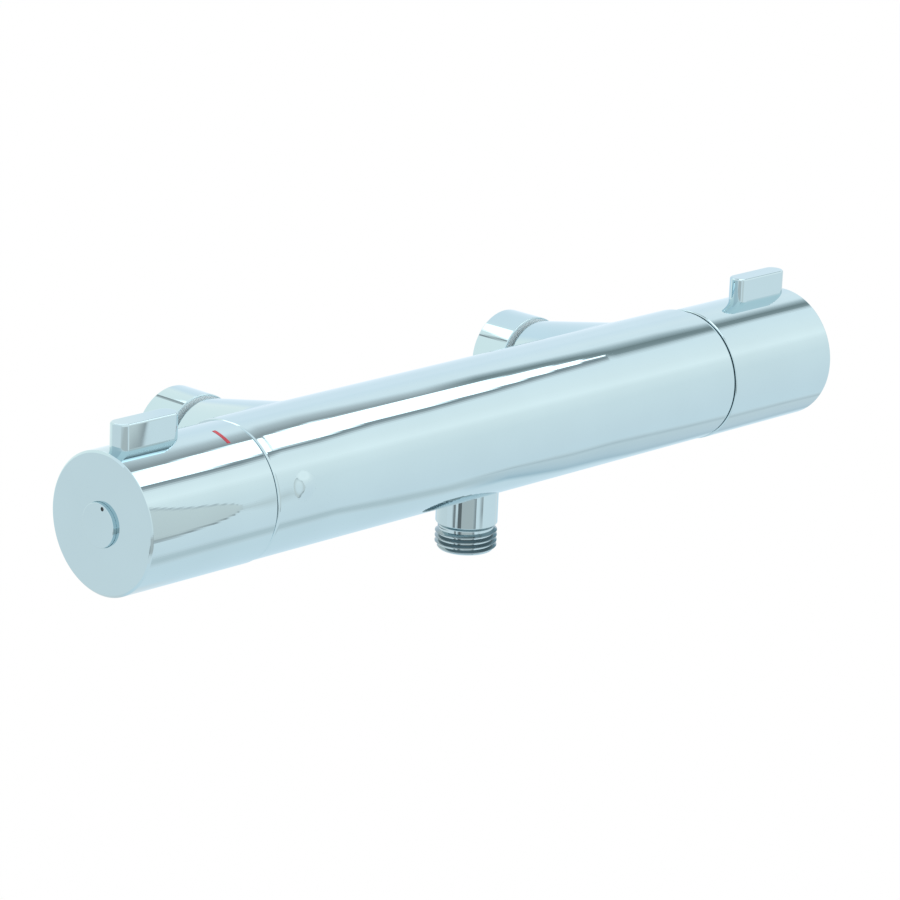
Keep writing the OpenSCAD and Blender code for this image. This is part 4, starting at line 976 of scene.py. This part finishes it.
class VALVE_OT_stage(bpy.types.Operator):
    """Sets the camera, the white surround, the pale floor and the tent of light"""

    bl_idname = "valve.stage"
    bl_label = "Stage"

    def execute(self, context):
        scene = context.scene
        stage, sizes = scene.valve_stage, scene.valve_sizes
        across, upward, back = camera_axes(stage)
        aim = Vector((-0.00981, sizes.axis_y, -0.00541))
        camera = bpy.data.objects.new("camera", bpy.data.cameras.new("camera"))
        scene.collection.objects.link(camera)
        turn = Matrix((across, upward, back)).transposed().to_4x4()
        camera.matrix_world = Matrix.Translation(aim + back * stage.distance) @ turn
        # In pixels of the photograph: its width, the focal length and the shift of the middle
        width, focal, shift_x, shift_y = 900, 4005.2, 0.72, 0.59
        camera.data.sensor_width = 36
        camera.data.lens = focal / width * 36
        camera.data.shift_x, camera.data.shift_y = shift_x / width, shift_y / width
        camera.data.clip_start, camera.data.clip_end = 0.05, 60
        scene.camera = camera
        scene.view_settings.view_transform = "Standard"

        world = bpy.data.worlds.new("studio")
        world.use_nodes = True
        scene.world = world
        tree, background = world.node_tree, world.node_tree.nodes["Background"]
        level = add_node(tree, "MapRange", To_Min=SURROUND_LEVEL)
        wire(tree, (seen_share(tree), level.inputs["Value"]),
             (level.outputs["Result"], background.inputs["Strength"]))
        background.inputs["Color"].default_value = (1, 1, 1, 1)

        deselect_all()
        bpy.ops.mesh.primitive_plane_add(size=FLOOR_SIZE, location=(0, sizes.axis_y, -stage.floor_drop))
        floor = named("floor")
        material = bpy.data.materials.new("pale_floor")
        material.use_nodes = True
        tree = material.node_tree
        tree.nodes.clear()
        share = add_node(tree, "Math")
        share.operation = "MULTIPLY"
        share.inputs[1].default_value = FLOOR_SHARE
        matt = add_node(tree, "BsdfDiffuse", Color=(FLOOR_TONE, FLOOR_TONE, FLOOR_TONE, 1))
        glow = add_node(tree, "Emission", Strength=FLOOR_GLOW)
        mix = add_node(tree, "MixShader")
        wire(tree, (seen_share(tree), share.inputs[0]), (share.outputs[0], mix.inputs["Fac"]),
             (matt.outputs[0], mix.inputs[1]), (glow.outputs[0], mix.inputs[2]),
             (mix.outputs[0], add_node(tree, "OutputMaterial").inputs["Surface"]))
        floor.data.materials.append(material)

        make_tent(scene)
        return {"FINISHED"}


class VALVE_PT_sidebar(bpy.types.Panel):
    """Lists the valve's pieces in the order they are made"""

    bl_idname = "VALVE_PT_sidebar"
    bl_label = "Shower Valve"
    bl_space_type = "VIEW_3D"
    bl_region_type = "UI"
    bl_category = "Valve"

    def draw(self, context):
        for key, group in GROUPS:
            for field in group.__annotations__:
                self.layout.prop(getattr(context.scene, key), field)
        for operator in OPERATORS:
            self.layout.operator(operator.bl_idname)


OPERATORS = (VALVE_OT_stage, VALVE_OT_finishes, VALVE_OT_body, VALVE_OT_knobs, VALVE_OT_caps, VALVE_OT_mark,
             VALVE_OT_union_nuts, VALVE_OT_outlet)
GROUPS = (("valve_sizes", ValveSizes), ("valve_finishes", ValveFinishes), ("valve_stage", ValveStage))


def register():
    for key, group in GROUPS:
        bpy.utils.register_class(group)
        setattr(bpy.types.Scene, key, bpy.props.PointerProperty(type=group))
    for operator in OPERATORS:
        bpy.utils.register_class(operator)
    bpy.utils.register_class(VALVE_PT_sidebar)


def unregister():
    bpy.utils.unregister_class(VALVE_PT_sidebar)
    for operator in reversed(OPERATORS):
        bpy.utils.unregister_class(operator)
    for key, group in reversed(GROUPS):
        delattr(bpy.types.Scene, key)
        bpy.utils.unregister_class(group)


def main():
    register()
    bpy.ops.valve.stage()
    bpy.ops.valve.finishes()
    bpy.ops.valve.body()
    bpy.ops.valve.knobs()
    bpy.ops.valve.caps()
    bpy.ops.valve.mark()
    bpy.ops.valve.union_nuts()
    bpy.ops.valve.outlet()


if __name__ == "__main__":
    main()
